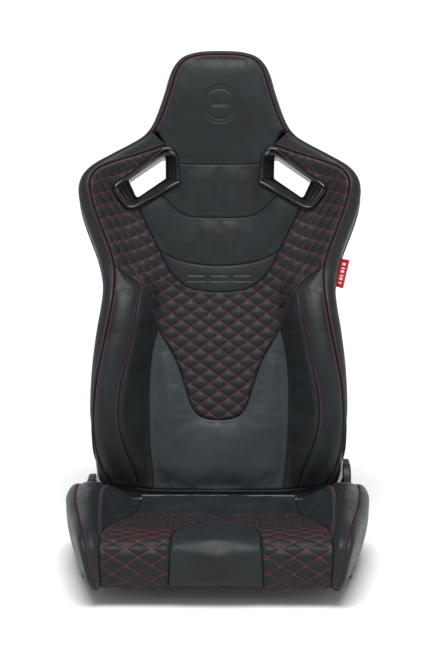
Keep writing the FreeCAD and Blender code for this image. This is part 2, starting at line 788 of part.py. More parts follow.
def make_back_arm(name, sign):
    """Zinc-plated arm: a web beside the hoop and a flange turned outward at its front."""
    arm = new_body(f"back_arm_{name}", True)
    middle = f"{sign} * (dims.arm_in + dims.plate_thick / 2)"
    slab(arm, "YZ_Plane", middle, "dims.plate_thick",
         lambda s: draw_circle(s, "0", "0", "dims.head_r"))
    slab(arm, "YZ_Plane", middle, "dims.plate_thick", lambda s: draw_outline(s, [
        ("0", "-28", "10"),
        ("134", "-28", "10"),
        ("134", "-2", "10"),
        ("74", "-2", "20"),
        ("62", "30"),
        ("18", "30"),
        ("0", "20")]))
    inner = "dims.side_in + dims.plate_thick - dims.disc_gap"
    outer = "dims.cover_in - 0.4" if sign > 0 else inner
    slab(arm, "XY_Plane", "28.25", "3.5", lambda s: draw_outline(s, [
        (f"{sign} * dims.arm_in", "19"),
        (f"{sign} * ({inner})", "19"),
        (f"{sign} * ({inner})", "26"),
        (f"{sign} * ({outer})", "30"),
        (f"{sign} * ({outer})", "64"),
        (f"{sign} * dims.arm_in", "46")]))
    cut(arm, "YZ_Plane", middle, "dims.plate_thick * 2", lambda s: [
        draw_circle(s, "0", "0", "dims.shaft_r + dims.shaft_free"),
        draw_at_arm_bolts(s, "dims.arm_bolt_r + dims.arm_bolt_fit")])


def make_arm_bolts():
    bolts = new_body("arm_bolts", True)
    nuts = new_body("arm_nuts", True)

    def rings(sketch):
        draw_at_arm_bolts(sketch, "dims.arm_bolt_head_r")
        draw_at_arm_bolts(sketch, "dims.arm_bolt_r")

    outer = "(dims.arm_in + dims.plate_thick)"
    for sign in (-1, 1):
        slab(bolts, "YZ_Plane", f"{sign} * ({outer} - dims.arm_bolt_long / 2)",
             "dims.arm_bolt_long", lambda s: draw_at_arm_bolts(s, "dims.arm_bolt_r"))
        slab(bolts, "YZ_Plane", f"{sign} * ({outer} + dims.arm_bolt_head / 2)",
             "dims.arm_bolt_head", lambda s: draw_at_arm_bolts(s, "dims.arm_bolt_head_r"))
        slab(nuts, "YZ_Plane", f"{sign} * (dims.hoop_x - dims.tube_r - dims.arm_nut / 2)",
             "dims.arm_nut", rings)


# ---------------------------------------------------------------- backrest upholstery

def slot_corners(sign, grow="0"):
    """The harness slot, clockwise from its outer corner, grown on every side."""
    corners = [
        (f"{sign} * 178", "614", "5"),
        (f"{sign} * 160", "573.5", "5"),
        (f"{sign} * 105.5", "612.5", "5"),
        (f"{sign} * 106", "665", "5"),
    ]
    plain = lambda size: float(sheet.evalExpression(size))
    return inset(corners, f"(-({grow}))", plain)


def front_slot_corners(sign):
    """The slot through the front moulding, whose upper edge is lower, inside the flange."""
    return [
        (f"{sign} * 172.2", "601", "5"),
        (f"{sign} * 160", "573.5", "5"),
        (f"{sign} * 105.5", "612.5", "5"),
        (f"{sign} * 105.9", "654.7", "5"),
    ]


def flange_corners(sign):
    return [
        (f"{sign} * 208.5", "580", "16"),
        (f"{sign} * 173", "532", "20"),
        (f"{sign} * 72.5", "591.5", "12"),
        (f"{sign} * 82.5", "682", "22"),
    ]


def back_outline():
    """Right half of the backrest's outline, from its lower corner to the top."""
    return [
        ("203", "22", "14"),
        ("238", "86", "20"),
        ("239", "200", "200"),
        ("217", "375", "160"),
        ("269", "580", "40"),
        ("140", "686", "40"),
        ("94", "822", "120"),
        ("62", "858", "20"),
    ]


def make_centre_pad():
    pad = new_body("back_pad_centre", True)
    slab(pad, "YZ_Plane", "0", "dims.centre_half * 2", lambda s: draw_outline(s, [
        ("8", "0", "3"),
        ("8", "30", "16"),
        ("150", "40", "300"),
        ("420", "30"),
        ("420", "0")]))


BOLSTER_SECTIONS = (
    # v, widest, foot, crest outer, crest inner, crest height, inner edge height
    (14, 201, 33, 188, 160, 52, 30),
    (40, 210, 33, 200, 164, 76, 33),
    (88, 232, 33, 218, 174, 98, 37),
    (140, 237, 0.5, 222, 182, 110, 40),
    (220, 235, 0.5, 214, 176, 112, 38),
    (320, 222, 0.5, 202, 160, 104, 34),
    (420, 222, 0.5, 200, 150, 76, 32),
)


def make_back_bolster(name, sign):
    bolster = new_body(f"back_bolster_{name}", True)
    sketches = []
    for v, widest, foot, crest_out, crest_in, crest, inner in BOLSTER_SECTIONS:
        sketch = new_sketch(bolster, "XZ_Plane", f"{-v}")
        near = "dims.centre_half + dims.pad_gap"
        draw_outline(sketch, [
            (f"{sign} * ({near})", str(min(foot, inner - 8))),
            (f"{sign} * ({near})", str(inner)),
            (f"{sign} * {crest_in}", str(crest)),
            (f"{sign} * {crest_out}", str(crest)),
            (f"{sign} * {widest}", str(crest * 0.62 + 4)),
            (f"{sign} * ({widest} - 3)", str(foot))])
        sketches.append(sketch)
    doc.recompute()
    loft = bolster.newObject("PartDesign::AdditiveLoft", "loft")
    loft.Profile = sketches[0]
    loft.Sections = sketches[1:]
    loft.Ruled = True
    doc.recompute()


def make_shoulder_wing(name, sign):
    """Foam below the harness slot, rising towards the outer edge."""
    wing = new_body(f"shoulder_wing_{name}", True)
    near = f"{sign} * (dims.yoke_half + dims.pad_gap)"
    bottom = "420 + dims.pad_gap"
    slab(wing, "XZ_Plane", "-510", "200", lambda s: draw_outline(s, [
        (near, "0.5"),
        (near, "34"),
        (f"{sign} * 140", "45"),
        (f"{sign} * 213", "45.5", "20"),
        (f"{sign} * 250", "82", "14"),
        (f"{sign} * 268", "60", "20"),
        (f"{sign} * 266", "0.5")]))
    cut(wing, "XY_Plane", "50", "200", lambda s: draw_outline(s, [
        (f"{sign} * 221", "400"),
        (f"{sign} * 222", "424"),
        (f"{sign} * 269", "580", "40"),
        (f"{sign} * 262", "602"),
        (f"{sign} * 178.5", "602"),
        (f"{sign} * 162", "566"),
        (f"{sign} * 100", "609.5"),
        (f"{sign} * 60", "609.5"),
        (f"{sign} * 60", "640"),
        (f"{sign} * 300", "640"),
        (f"{sign} * 300", "400")]))
    cut(wing, "XY_Plane", "50", "200", lambda s: draw_outline(s, [
        (f"{sign} * 60", "380"), (f"{sign} * 300", "380"),
        (f"{sign} * 300", bottom), (f"{sign} * 60", bottom)]))


def make_shoulder_rim(name, sign):
    """Foam over the frame tube above the harness slot."""
    rim = new_body(f"shoulder_rim_{name}", True)
    near = f"{sign} * (dims.yoke_half + dims.pad_gap)"
    slab(rim, "XY_Plane", "23", "45", lambda s: draw_outline(s, [
        (near, "698"),
        (near, "672.5"),
        (f"{sign} * 103", "672.5"),
        (f"{sign} * 185", "617"),
        (f"{sign} * 179.5", "603"),
        (f"{sign} * 262", "603"),
        (f"{sign} * 247", "624", "24"),
        (f"{sign} * 140", "686", "30"),
        (f"{sign} * 136", "698")]))


def make_yoke_pad():
    yoke = new_body("upper_back_pad", True)
    slab(yoke, "YZ_Plane", "0", "dims.yoke_half * 2", lambda s: draw_outline(s, [
        ("420.3", "0.5"),
        ("420.3", "30"),
        ("560", "31", "300"),
        ("698", "40"),
        ("698", "0.5")]))


def make_headrest_pad():
    pad = new_body("headrest_pad", True)
    slab(pad, "XY_Plane", "24", "47", lambda s: draw_outline(s, mirrored([
        ("137", "698.3"),
        ("112", "754", "80"),
        ("94", "824", "60"),
        ("62", "860", "22")])))
    round_edges(pad, lambda point: point.z > 47.4 and point.y > 699, "12")


def make_back_shell():
    shell = new_body("back_shell", True)
    depth = "dims.shell_depth"
    slab(shell, "XY_Plane", f"-{depth} / 2", depth,
         lambda s: draw_outline(s, mirrored(back_outline())))
    rear = -DIMENSIONS["shell_depth"]
    round_edges(shell, lambda point: point.z < rear + 0.01, "dims.shell_round")
    for sign in (-1, 1):
        cut(shell, "XY_Plane", f"-{depth} / 2", f"{depth} * 2",
            lambda s: draw_outline(s, slot_corners(sign, "dims.bezel_wall + 0.3")))

    def hollow(sketch):
        numbers = lambda size: value_of(sketch, size)
        draw_outline(sketch, inset(mirrored(back_outline()), "dims.shell_wall", numbers))

    inside = f"{depth} - dims.shell_wall"
    cut(shell, "XY_Plane", f"-({inside}) / 2", inside, hollow)
    cut(shell, "XY_Plane", "-15", "34", lambda s: [
        draw_box(s, f"{sign} * (dims.hoop_x - 14)", "10", f"{sign} * (dims.arm_in + 6)", "64")
        for sign in (-1, 1)])


def make_bezel(name, sign):
    """Two mouldings that meet inside the backrest and line the harness slot."""
    front = new_body(f"harness_bezel_{name}", True)
    sleeve = "dims.bezel_face - dims.bezel_split"
    plain = lambda size: float(sheet.evalExpression(size))
    slab(front, "XY_Plane", "(dims.bezel_face + dims.bezel_split) / 2", sleeve,
         lambda s: draw_outline(s, inset(front_slot_corners(sign), "(-dims.bezel_wall)", plain)))
    slab(front, "XY_Plane", "dims.bezel_face + dims.bezel_flange / 2", "dims.bezel_flange",
         lambda s: draw_outline(s, flange_corners(sign)))
    cut(front, "XY_Plane", "20", "160", lambda s: draw_outline(s, front_slot_corners(sign)))

    rear = new_body(f"rear_bezel_{name}", True)
    depth = "dims.shell_depth"
    slab(rear, "XY_Plane", f"(dims.bezel_split - {depth}) / 2", f"dims.bezel_split + {depth}",
         lambda s: draw_outline(s, slot_corners(sign, "dims.bezel_wall")))
    slab(rear, "XY_Plane", f"-{depth} - dims.bezel_flange / 2", "dims.bezel_flange",
         lambda s: draw_outline(s, slot_corners(sign, "15")))
    cut(rear, "XY_Plane", "-30", "100", lambda s: draw_outline(s, slot_corners(sign)))


def make_tag():
    tag = new_body("side_tag", True)
    slab(tag, "XY_Plane", "34", "dims.tag_thick", lambda s: draw_outline(s, [
        ("222.5", "392"), ("233", "388"), ("245", "444"), ("231", "445")]))


# ---------------------------------------------------------------- assembly

for side_name, side_sign in SIDES:
    make_rail(side_name, side_sign)
    make_side_plate(side_name, side_sign)
    make_recliner_bracket(side_name, side_sign)
    make_disc(f"recliner_fixed_disc_{side_name}", side_sign,
              "(dims.side_in + dims.plate_thick - dims.disc_thick - dims.disc_gap / 2)",
              "dims.shaft_r + dims.shaft_fit", False)
    make_disc(f"recliner_moving_disc_{side_name}", side_sign,
              "(dims.arm_in + dims.plate_thick)",
              "dims.shaft_r + dims.shaft_free", True)
    make_cover(side_name, side_sign)
    make_cushion_bolster(side_name, side_sign)
    make_back_arm(side_name, side_sign)
    make_back_bolster(side_name, side_sign)
    make_shoulder_wing(side_name, side_sign)
    make_shoulder_rim(side_name, side_sign)
    make_bezel(side_name, side_sign)

make_cross_tube("base_front_tube", -1)
make_cross_tube("base_rear_tube", 1)
make_weld_nuts()
make_seat_springs()
make_seat_spring_clips()
make_bracket_bolts()
make_cover_screws()
make_release()
make_return_spring()
make_cushion_pad()

make_back_hoop()
make_back_cross_tube("back_upper_cross_tube", "520", "dims.hoop_x + 11.4")
make_back_cross_tube("back_lower_cross_tube", "92", "dims.hoop_x - dims.tube_r")
make_headrest_plate()
make_back_springs()
make_back_spring_clips()
make_arm_bolts()
make_centre_pad()
make_yoke_pad()
make_headrest_pad()
make_back_shell()
make_tag()

doc.recompute()

for item in doc.Objects:
    if "Invalid" in item.State or "Error" in item.State:
        raise RuntimeError(f"{item.Name} failed: {item.State}")
for part in parts:
    if part.Shape.isNull() or not part.Shape.isValid() or not part.Shape.Solids:
        raise RuntimeError(f"{part.Label} has no valid shape")

os.makedirs("parts", exist_ok=True)
for part in parts:
    part.Shape.exportStep(f"parts/{part.Label}.step")
    print(part.Label, len(part.Shape.Solids), round(part.Shape.Volume))
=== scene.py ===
"""Upholstery and finishes of a reclining bucket seat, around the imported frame.

Design numbers are in millimetres. The backrest is drawn flat in its own frame and
leant back on the recline axis: u runs across it, v up along it, w out of its front.
The cushion is drawn as a sheet over its side profile: x across it, b along the profile
from the front lower edge, over the nose, to the rear. Both are mirrored about x = 0.
"""
import json
import math

import bmesh
import bpy
import numpy as np
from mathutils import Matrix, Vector, kdtree, noise
from mathutils.geometry import delaunay_2d_cdt


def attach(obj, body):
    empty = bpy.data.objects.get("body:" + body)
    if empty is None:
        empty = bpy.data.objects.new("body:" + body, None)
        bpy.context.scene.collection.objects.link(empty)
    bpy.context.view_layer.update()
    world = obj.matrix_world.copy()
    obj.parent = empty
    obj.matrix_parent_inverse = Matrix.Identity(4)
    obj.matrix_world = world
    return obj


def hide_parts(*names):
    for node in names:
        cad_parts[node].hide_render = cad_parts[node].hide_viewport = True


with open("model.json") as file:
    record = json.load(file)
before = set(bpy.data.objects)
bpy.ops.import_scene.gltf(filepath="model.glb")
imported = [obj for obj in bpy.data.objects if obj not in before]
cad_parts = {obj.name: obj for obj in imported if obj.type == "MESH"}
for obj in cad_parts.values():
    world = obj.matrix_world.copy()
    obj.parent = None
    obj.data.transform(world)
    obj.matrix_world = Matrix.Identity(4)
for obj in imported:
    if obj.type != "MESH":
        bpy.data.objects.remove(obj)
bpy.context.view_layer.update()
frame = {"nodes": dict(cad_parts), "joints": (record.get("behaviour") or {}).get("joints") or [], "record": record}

MM = 0.001
RECLINE = math.radians(20)
JOINTS = {joint["name"]: joint for joint in frame["joints"]}
HINGE_Y, HINGE_Z = (value / MM for value in JOINTS["recline"]["pos_m"][1:])
SIDES = (("left", -1), ("right", 1))
SEED = np.random.RandomState(7)


# ---------------------------------------------------------------- curves

def run_along(path):
    """How far along the path each of its points is."""
    return np.concatenate([[0], np.cumsum(np.linalg.norm(np.diff(path, axis=0), axis=1))])


def unit(vectors):
    """The same vectors with a length of one."""
    return vectors / np.maximum(np.linalg.norm(vectors, axis=-1, keepdims=True), 1e-9)


def left_of(along):
    """Unit vectors to the left of each direction in the plane."""
    return unit(np.column_stack([-along[:, 1], along[:, 0]]))


def resampled(path, step):
    """The same path with its points an even step apart."""
    run = run_along(path)
    count = max(2, int(round(run[-1] / step)) + 1)
    at = np.linspace(0, run[-1], count)
    return np.column_stack([np.interp(at, run, path[:, k]) for k in range(path.shape[1])])


def closed_resampled(ring, step):
    """A closed ring with its points an even step apart."""
    return resampled(np.vstack([ring, ring[:1]]), step)[:-1]


def cubic(t, start, end, leave, arrive, gap):
    """Between two values, with the given slopes at them, t being 0 to 1 over the gap."""
    return (start * (1 + 2 * t) * (1 - t) ** 2 + end * t * t * (3 - 2 * t)
            + gap * (leave * t * (1 - t) ** 2 - arrive * t * t * (1 - t)))


def smooth(points, step=2.0):
    """A smooth open curve through the points, a centripetal Catmull-Rom spline."""
    p = np.asarray(points, float)
    if len(p) < 3:
        return resampled(p, step)
    knot = np.concatenate([[0], np.cumsum(np.linalg.norm(np.diff(p, axis=0), axis=1) ** 0.5)])
    gap = np.diff(knot)[:, None]
    slope = np.diff(p, axis=0) / gap
    inner = (slope[:-1] * gap[1:] + slope[1:] * gap[:-1]) / (gap[1:] + gap[:-1])
    tangent = np.vstack([1.5 * slope[:1] - 0.5 * inner[:1], inner,
                         1.5 * slope[-1:] - 0.5 * inner[-1:]])
    out = []
    for i in range(len(p) - 1):
        t = np.linspace(0, 1, 24, endpoint=False)[:, None]
        out.append(cubic(t, p[i], p[i + 1], tangent[i], tangent[i + 1], gap[i]))
    return resampled(np.vstack(out + [p[-1:]]), step)


def track(*keys):
    """A smooth function through (position, value) pairs that does not overshoot them."""
    x, y = np.array(keys, float).T
    gap = np.diff(x)
    slope = np.diff(y) / gap
    m = np.concatenate([slope[:1], np.zeros(len(x) - 2), slope[-1:]])
    for i in range(1, len(x) - 1):
        if slope[i - 1] * slope[i] > 0:
            near, far = 2 * gap[i] + gap[i - 1], gap[i] + 2 * gap[i - 1]
            m[i] = (near + far) / (near / slope[i - 1] + far / slope[i])

    def value(at):
        at = np.clip(at, x[0], x[-1])
        i = np.clip(np.searchsorted(x, at) - 1, 0, len(x) - 2)
        return cubic((at - x[i]) / gap[i], y[i], y[i + 1], m[i], m[i + 1], gap[i])

    return value


def ease(t):
    """From 0 to 1 with a level start and end."""
    t = np.clip(t, 0, 1)
    return t * t * (3 - 2 * t)


def nearest(path, point):
    return int(np.argmin(np.linalg.norm(path - np.asarray(point, float), axis=1)))


def mirror(path):
    """The same path on the other side, run the other way."""
    return (path * np.array([-1.0] + [1.0] * (path.shape[1] - 1)))[::-1]


def on_side(path, sign):
    """The path as drawn for the right side, or mirrored for the left."""
    return mirror(path) if sign < 0 else path


def chain(*paths):
    """One closed outline from paths that meet end to end."""
    joined = np.vstack(paths)
    apart = np.linalg.norm(joined - np.roll(joined, 1, axis=0), axis=1) > 0.3
    return joined[apart]


def closed_both_sides(*paths):
    """A closed outline from a right half that starts and ends on the centre line."""
    half = np.vstack(paths)
    return chain(half, mirror(half))


def beside(path, gap):
    """A path run to the left of another by that gap, in the plane."""
    return path + left_of(np.gradient(path, axis=0)) * gap


def round_quad(corners, radii, per_side=10, per_corner=9):
    """A closed ring round four corners, with the same number of points at any size."""
    ring = []
    for k, corner in enumerate(corners):
        corner = np.array(corner, float)
        before = np.array(corners[k - 1], float) - corner
        after = np.array(corners[(k + 1) % 4], float) - corner
        before, after = (d / np.linalg.norm(d) for d in (before, after))
        half = math.acos(np.clip(before @ after, -1, 1)) / 2
        radius = radii[k]
        reach = radius / math.tan(half)
        inward = (before + after) / np.linalg.norm(before + after)
        middle = corner + inward * radius / math.sin(half)
        start, end = corner + before * reach - middle, corner + after * reach - middle
        turn = math.atan2(start[0] * end[1] - start[1] * end[0], start @ end)
        for t in np.linspace(0, turn, per_corner):
            c, s = math.cos(t), math.sin(t)
            ring.append(middle + [start[0] * c - start[1] * s, start[0] * s + start[1] * c])
    ring = np.array(ring)
    out = []
    for k in range(4):
        arc = ring[k * per_corner:(k + 1) * per_corner]
        onward = ring[((k + 1) % 4) * per_corner]
        out.append(arc)
        out.append(arc[-1] + np.linspace(0, 1, per_side + 1)[1:-1, None] * (onward - arc[-1]))
    return np.vstack(out)


# ---------------------------------------------------------------- plane geometry

def distance_to(points, path, closed=True, block=1500):
    """Distance from each point to a path, in the plane."""
    a = path
    b = np.roll(path, -1, axis=0) if closed else path[1:]
    a = a[:len(b)]
    along = b - a
    size = np.maximum((along ** 2).sum(1), 1e-9)
    out = np.empty(len(points))
    for k in range(0, len(points), block):
        off = points[k:k + block, None, :] - a[None]
        t = np.clip((off * along[None]).sum(2) / size, 0, 1)
        out[k:k + block] = np.sqrt(((off - t[..., None] * along[None]) ** 2).sum(2).min(1))
    return out


def inside(points, ring, block=1500):
    x1, y1 = ring.T
    x2, y2 = np.roll(ring, -1, axis=0).T
    out = np.empty(len(points), bool)
    for k in range(0, len(points), block):
        px, py = points[k:k + block, 0:1], points[k:k + block, 1:2]
        spans = (y1 > py) != (y2 > py)
        with np.errstate(divide="ignore", invalid="ignore"):
            cross = px < (x2 - x1) * (py - y1) / (y2 - y1) + x1
        out[k:k + block] = (spans & cross).sum(1) % 2 == 1
    return out


def signed_area(ring):
    x, y = ring.T
    return 0.5 * (x * np.roll(y, -1) - np.roll(x, -1) * y).sum()


def inset_points(ring, offset):
    """Points that far inside a counter-clockwise ring."""
    return ring + left_of(np.roll(ring, -1, axis=0) - np.roll(ring, 1, axis=0)) * offset


def fill(ring, spacing, rows=(0.5, 1.3, 2.5), clear=None):
    """Triangles inside a ring: its own points first, then rows along it, then a hex grid."""
    clear = clear or rows[-1] + spacing * 0.6
    points = [ring]
    for offset in rows:
        row = inset_points(ring, offset)
        keep = distance_to(row, ring) > 0.9 * offset
        points.append(row[keep & inside(row, ring)])
    low, high = ring.min(0), ring.max(0)
    rise = spacing * math.sqrt(3) / 2
    grid = [(x + (spacing / 2 if k % 2 else 0), y)
            for k, y in enumerate(np.arange(low[1], high[1], rise))
            for x in np.arange(low[0], high[0], spacing)]
    grid = np.array(grid) if grid else np.zeros((0, 2))
    if len(grid):
        grid = grid[inside(grid, ring)]
    if len(grid):
        grid = grid[distance_to(grid, ring) > clear]
    points.append(grid)
    every = np.vstack(points)
    count = len(ring)
    flat, _, faces, *_ = delaunay_2d_cdt(
        [Vector(p) for p in every], [], [list(range(count))], 1, 1e-5)
    flat = np.array([tuple(p) for p in flat])
    # the ring's own points keep their numbers, because they go in first
    return flat, np.array([f for f in faces if len(f) == 3])


# ---------------------------------------------------------------- surfaces

def back_to_row(u, v, w):
    """Backrest coordinates to the row frame, in millimetres."""
    y = HINGE_Y + v * math.sin(RECLINE) - w * math.cos(RECLINE)
    z = HINGE_Z + v * math.cos(RECLINE) + w * math.sin(RECLINE)
    return np.column_stack([u, y, z])


def on_surface(place, a, b, lift=0.0):
    """Points on a surface, moved along its outward normal."""
    point = place(a, b)
    gap = 1.5
    across = place(a + gap, b) - place(a - gap, b)
    along = place(a, b + gap) - place(a, b - gap)
    normal = unit(np.cross(across, along))
    return point + normal * np.broadcast_to(lift, a.shape)[:, None], normal


def blurred(table, sigma):
    """A table smoothed both ways, with its edges carried outward."""
    reach = int(3 * sigma)
    kernel = np.exp(-0.5 * (np.arange(-reach, reach + 1) / sigma) ** 2)
    kernel /= kernel.sum()
    for axis in (0, 1):
        padded = np.pad(table, [(reach, reach) if k == axis else (0, 0) for k in (0, 1)], "edge")
        table = np.apply_along_axis(lambda row: np.convolve(row, kernel, "valid"), axis, padded)
    return table


class HeightTable:
    """A smooth height over a plane, kept at an even pitch."""

    def __init__(self, across, along, heights, pitch, sigma):
        self.start = np.array([across[0], along[0]])
        self.pitch = pitch
        self.table = blurred(heights, sigma / pitch)

    def __call__(self, a, b):
        i = np.clip((a - self.start[0]) / self.pitch, 0, self.table.shape[1] - 1.001)
        j = np.clip((b - self.start[1]) / self.pitch, 0, self.table.shape[0] - 1.001)
        i0, j0 = i.astype(int), j.astype(int)
        s, t = i - i0, j - j0
        t0, t1 = self.table[j0, i0], self.table[j0, i0 + 1]
        t2, t3 = self.table[j0 + 1, i0], self.table[j0 + 1, i0 + 1]
        return (t0 * (1 - s) + t1 * s) * (1 - t) + (t2 * (1 - s) + t3 * s) * t


# Cross-sections of the backrest's front: v, height at the centre, then (u, height) outward
# to the foot of the bolster, its crest and the outline.
BACK_SECTIONS = (
    (8, 30, (60, 30), (123, 29), (158, 42), (184, 45), (201, 42)),
    (40, 34, (60, 34), (124, 33), (164, 72), (198, 75), (211, 66)),
    (88, 38, (62, 37), (126, 36), (174, 94), (212, 98), (234, 86)),
    (140, 40, (64, 39), (128, 38), (181, 107), (217, 110), (238, 96)),
    (220, 39, (64, 38), (126, 37), (173, 109), (213, 112), (235, 98)),
    (300, 36, (60, 36), (117, 36), (159, 102), (202, 106), (227, 94)),
    (345, 34, (58, 34), (113, 36), (150, 92), (198, 98), (221, 88)),
    (385, 32, (56, 32), (112, 36), (148, 72), (197, 84), (220, 76)),
    (430, 31, (54, 32), (112, 37), (160, 52), (198, 74), (224, 69)),
    (480, 31, (54, 32), (112, 39), (170, 50), (216, 74), (244, 68)),
    (530, 31, (54, 33), (108, 42), (184, 47), (234, 78), (261, 72)),
    (575, 32, (56, 34), (90, 44), (198, 45), (244, 80), (268, 73)),
    (605, 33, (56, 35), (86, 44), (194, 45), (240, 72), (263, 66)),
    (630, 34, (56, 36), (86, 44), (170, 45), (218, 58), (243, 53)),
    (655, 36, (56, 38), (88, 43), (140, 45), (180, 49), (204, 47)),
    (680, 39, (50, 40), (88, 43), (112, 45), (136, 46), (160, 45)),
    (705, 42, (40, 42), (76, 43), (98, 45), (114, 46), (132, 45)),
    (770, 45, (36, 45), (62, 46), (80, 47), (94, 47), (110, 46)),
    (880, 41, (20, 41), (40, 42), (60, 42), (80, 42), (100, 42)),
)
PITCH = 2.0


def section_table(sections, across, along, wide):
    """Heights over a plane from half cross-sections, joined smoothly along the plane."""
    count = len(sections[0]) - 2
    stations = [s[0] for s in sections]
    centre = track(*((s[0], s[1]) for s in sections))(along)
    spots = [track(*zip(stations, (s[2 + k][0] for s in sections)))(along) for k in range(count)]
    highs = [track(*zip(stations, (s[2 + k][1] for s in sections)))(along) for k in range(count)]
    rows = []
    for j in range(len(along)):
        at = [0] + [spot[j] for spot in spots] + [wide]
        high = [centre[j]] + [level[j] for level in highs]
        high.append(high[-1])
        rows.append(np.interp(np.abs(across), at, high))
    return np.array(rows)


back_across = np.arange(-290, 291, PITCH)
back_along = np.arange(-20, 901, PITCH)
back_height = HeightTable(back_across, back_along,
                          section_table(BACK_SECTIONS, back_across, back_along, 300), PITCH, 6.5)


def place_front(u, v):
    return back_to_row(u, v, back_height(u, v))


REAR_FACE = -43.0


def rear_height(u, v):
    """The rear face, flat at the slots and crowned over the shell below them."""
    belly = np.clip(1 - ((v - 270) / 250) ** 2, 0, 1) * np.clip(1 - (u / 225) ** 2, 0, 1)
    return REAR_FACE - 5 * belly


def place_rear(a, v):
    """Seen from behind, so that its outward side is the rear."""
    return back_to_row(-a, v, rear_height(-a, v))


# The cushion's side profile: y and z, from the front lower edge to the rear.
CUSHION_PROFILE = smooth([
    (-262, 30), (-275, 32), (-283, 42), (-287, 62), (-288, 82), (-282, 97), (-266, 107),
    (-240, 110.5), (-205, 109), (-150, 100), (-90, 91), (-30, 82), (30, 75.5), (90, 73.5),
    (140, 74.5), (160, 72), (167, 66), (168, 52)], 1.0)
CUSHION_LONG = len(CUSHION_PROFILE) - 1.0
CUSHION_NORMAL = left_of(np.gradient(CUSHION_PROFILE, axis=0))

# Cross-sections of the cushion's side bolsters: b, lift at the centre, then (x, lift)
# outward to the foot, the crest and the outline.
CUSHION_SECTIONS = (
    (0, 0, (186, 0), (191, 2), (194, 2), (198, 2)),
    (30, 0, (187, 0), (192, 3), (198, 3), (204, 3)),
    (66, 0, (187, 0), (194, 4), (204, 5), (213, 4)),
    (101, 0, (188, 0), (197, 6), (210, 7), (221, 5)),
    (127, 0, (188, 0), (199, 9), (213, 10), (227, 7)),
    (162, 0, (187, 1), (201, 15), (217, 16), (233, 12)),
    (218, 0, (182, 2), (203, 27), (222, 28), (242, 22)),
    (279, 0, (170, 3), (205, 38), (227, 40), (249, 34)),
    (339, 0, (154, 3), (205, 46), (231, 48), (254, 42)),
    (400, 0, (143, 3), (205, 48), (233, 50), (255, 44)),
    (440, 0, (140, 3), (204, 43), (231, 45), (250, 39)),
    (465, 0, (142, 3), (201, 25), (224, 25), (238, 21)),
    (482, 0, (146, 1), (196, 5), (214, 5), (224, 3)),
    (500, 0, (150, 0), (190, 1), (204, 1), (214, 1)),
    (540, 0, (150, 0), (180, 0), (200, 0), (214, 0)),
)
cushion_across = np.arange(-280, 281, PITCH)
cushion_along = np.arange(-10, 561, PITCH)
cushion_lift = HeightTable(
    cushion_across, cushion_along,
    section_table(CUSHION_SECTIONS, cushion_across, cushion_along, 290), PITCH, 5.0)


def place_cushion(x, b):
    at = np.clip(b, 0, CUSHION_LONG)
    steps = np.arange(len(CUSHION_PROFILE))
    y = np.interp(at, steps, CUSHION_PROFILE[:, 0])
    z = np.interp(at, steps, CUSHION_PROFILE[:, 1])
    ny = np.interp(at, steps, CUSHION_NORMAL[:, 0])
    nz = np.interp(at, steps, CUSHION_NORMAL[:, 1])
    lift = cushion_lift(x, b)
    return np.column_stack([x, y + ny * lift, z + nz * lift])


# ---------------------------------------------------------------- materials

def linear(text):
    """A colour's linear values from its six hexadecimal digits, or as they are given."""
    if not isinstance(text, str):
        return text
    out = []
    for k in (0, 2, 4):
        c = int(text[k:k + 2], 16) / 255
        out.append(c / 12.92 if c <= 0.04045 else ((c + 0.055) / 1.055) ** 2.4)
    return tuple(out) + (1.0,)


class Finish:
    """A material and the few node calls that the finishes share."""

    def __init__(self, name, **sockets):
        self.material = bpy.data.materials.new(name)
        self.material.use_nodes = True
        self.tree = self.material.node_tree
        self.shader = self.tree.nodes["Principled BSDF"]
        for socket, value in sockets.items():
            self.shader.inputs[socket.replace("_", " ")].default_value = value
        self.coordinates = self.add("ShaderNodeTexCoord").outputs["Object"]
        self.height = None

    def add(self, kind, **settings):
        node = self.tree.nodes.new(kind)
        for key, value in settings.items():
            setattr(node, key, value)
        return node

    def link(self, source, target):
        self.tree.links.new(source, target)

    def noise(self, scale, detail=3.0, source=None):
        node = self.add("ShaderNodeTexNoise")
        node.inputs["Scale"].default_value = scale
        node.inputs["Detail"].default_value = detail
        self.link(source or self.coordinates, node.inputs["Vector"])
        return node.outputs["Fac"]

    def cells(self, scale, randomness=1.0, source=None):
        node = self.add("ShaderNodeTexVoronoi")
        node.inputs["Scale"].default_value = scale
        node.inputs["Randomness"].default_value = randomness
        self.link(source or self.coordinates, node.inputs["Vector"])
        return node.outputs["Distance"]

    def stretched(self, scale, source=None):
        node = self.add("ShaderNodeMapping")
        node.inputs["Scale"].default_value = scale
        self.link(source or self.coordinates, node.inputs["Vector"])
        return node.outputs["Vector"]

    def attribute(self, name):
        return self.add("ShaderNodeAttribute", attribute_name=name).outputs["Vector"]

    def ramp(self, source, low, high, at=(0.3, 0.7)):
        node = self.add("ShaderNodeMapRange")
        for socket, value in zip(("From Min", "From Max", "To Min", "To Max"), (*at, low, high)):
            node.inputs[socket].default_value = value
        self.link(source, node.inputs["Value"])
        return node.outputs["Result"]

    def tint(self, source, dark, light):
        node = self.add("ShaderNodeMix", data_type="RGBA")
        node.inputs["A"].default_value = linear(dark)
        node.inputs["B"].default_value = linear(light)
        self.link(source, node.inputs["Factor"])
        self.link(node.outputs["Result"], self.shader.inputs["Base Color"])
        return node

    def rough(self, source, low, high):
        self.link(self.ramp(source, low, high), self.shader.inputs["Roughness"])

    def bump(self, source, depth_mm, strength=1.0, invert=False):
        node = self.add("ShaderNodeBump", invert=invert)
        node.inputs["Strength"].default_value = strength
        node.inputs["Distance"].default_value = depth_mm * MM
        self.link(source, node.inputs["Height"])
        if self.height:
            self.link(self.height, node.inputs["Normal"])
        self.height = node.outputs["Normal"]
        self.link(self.height, self.shader.inputs["Normal"])


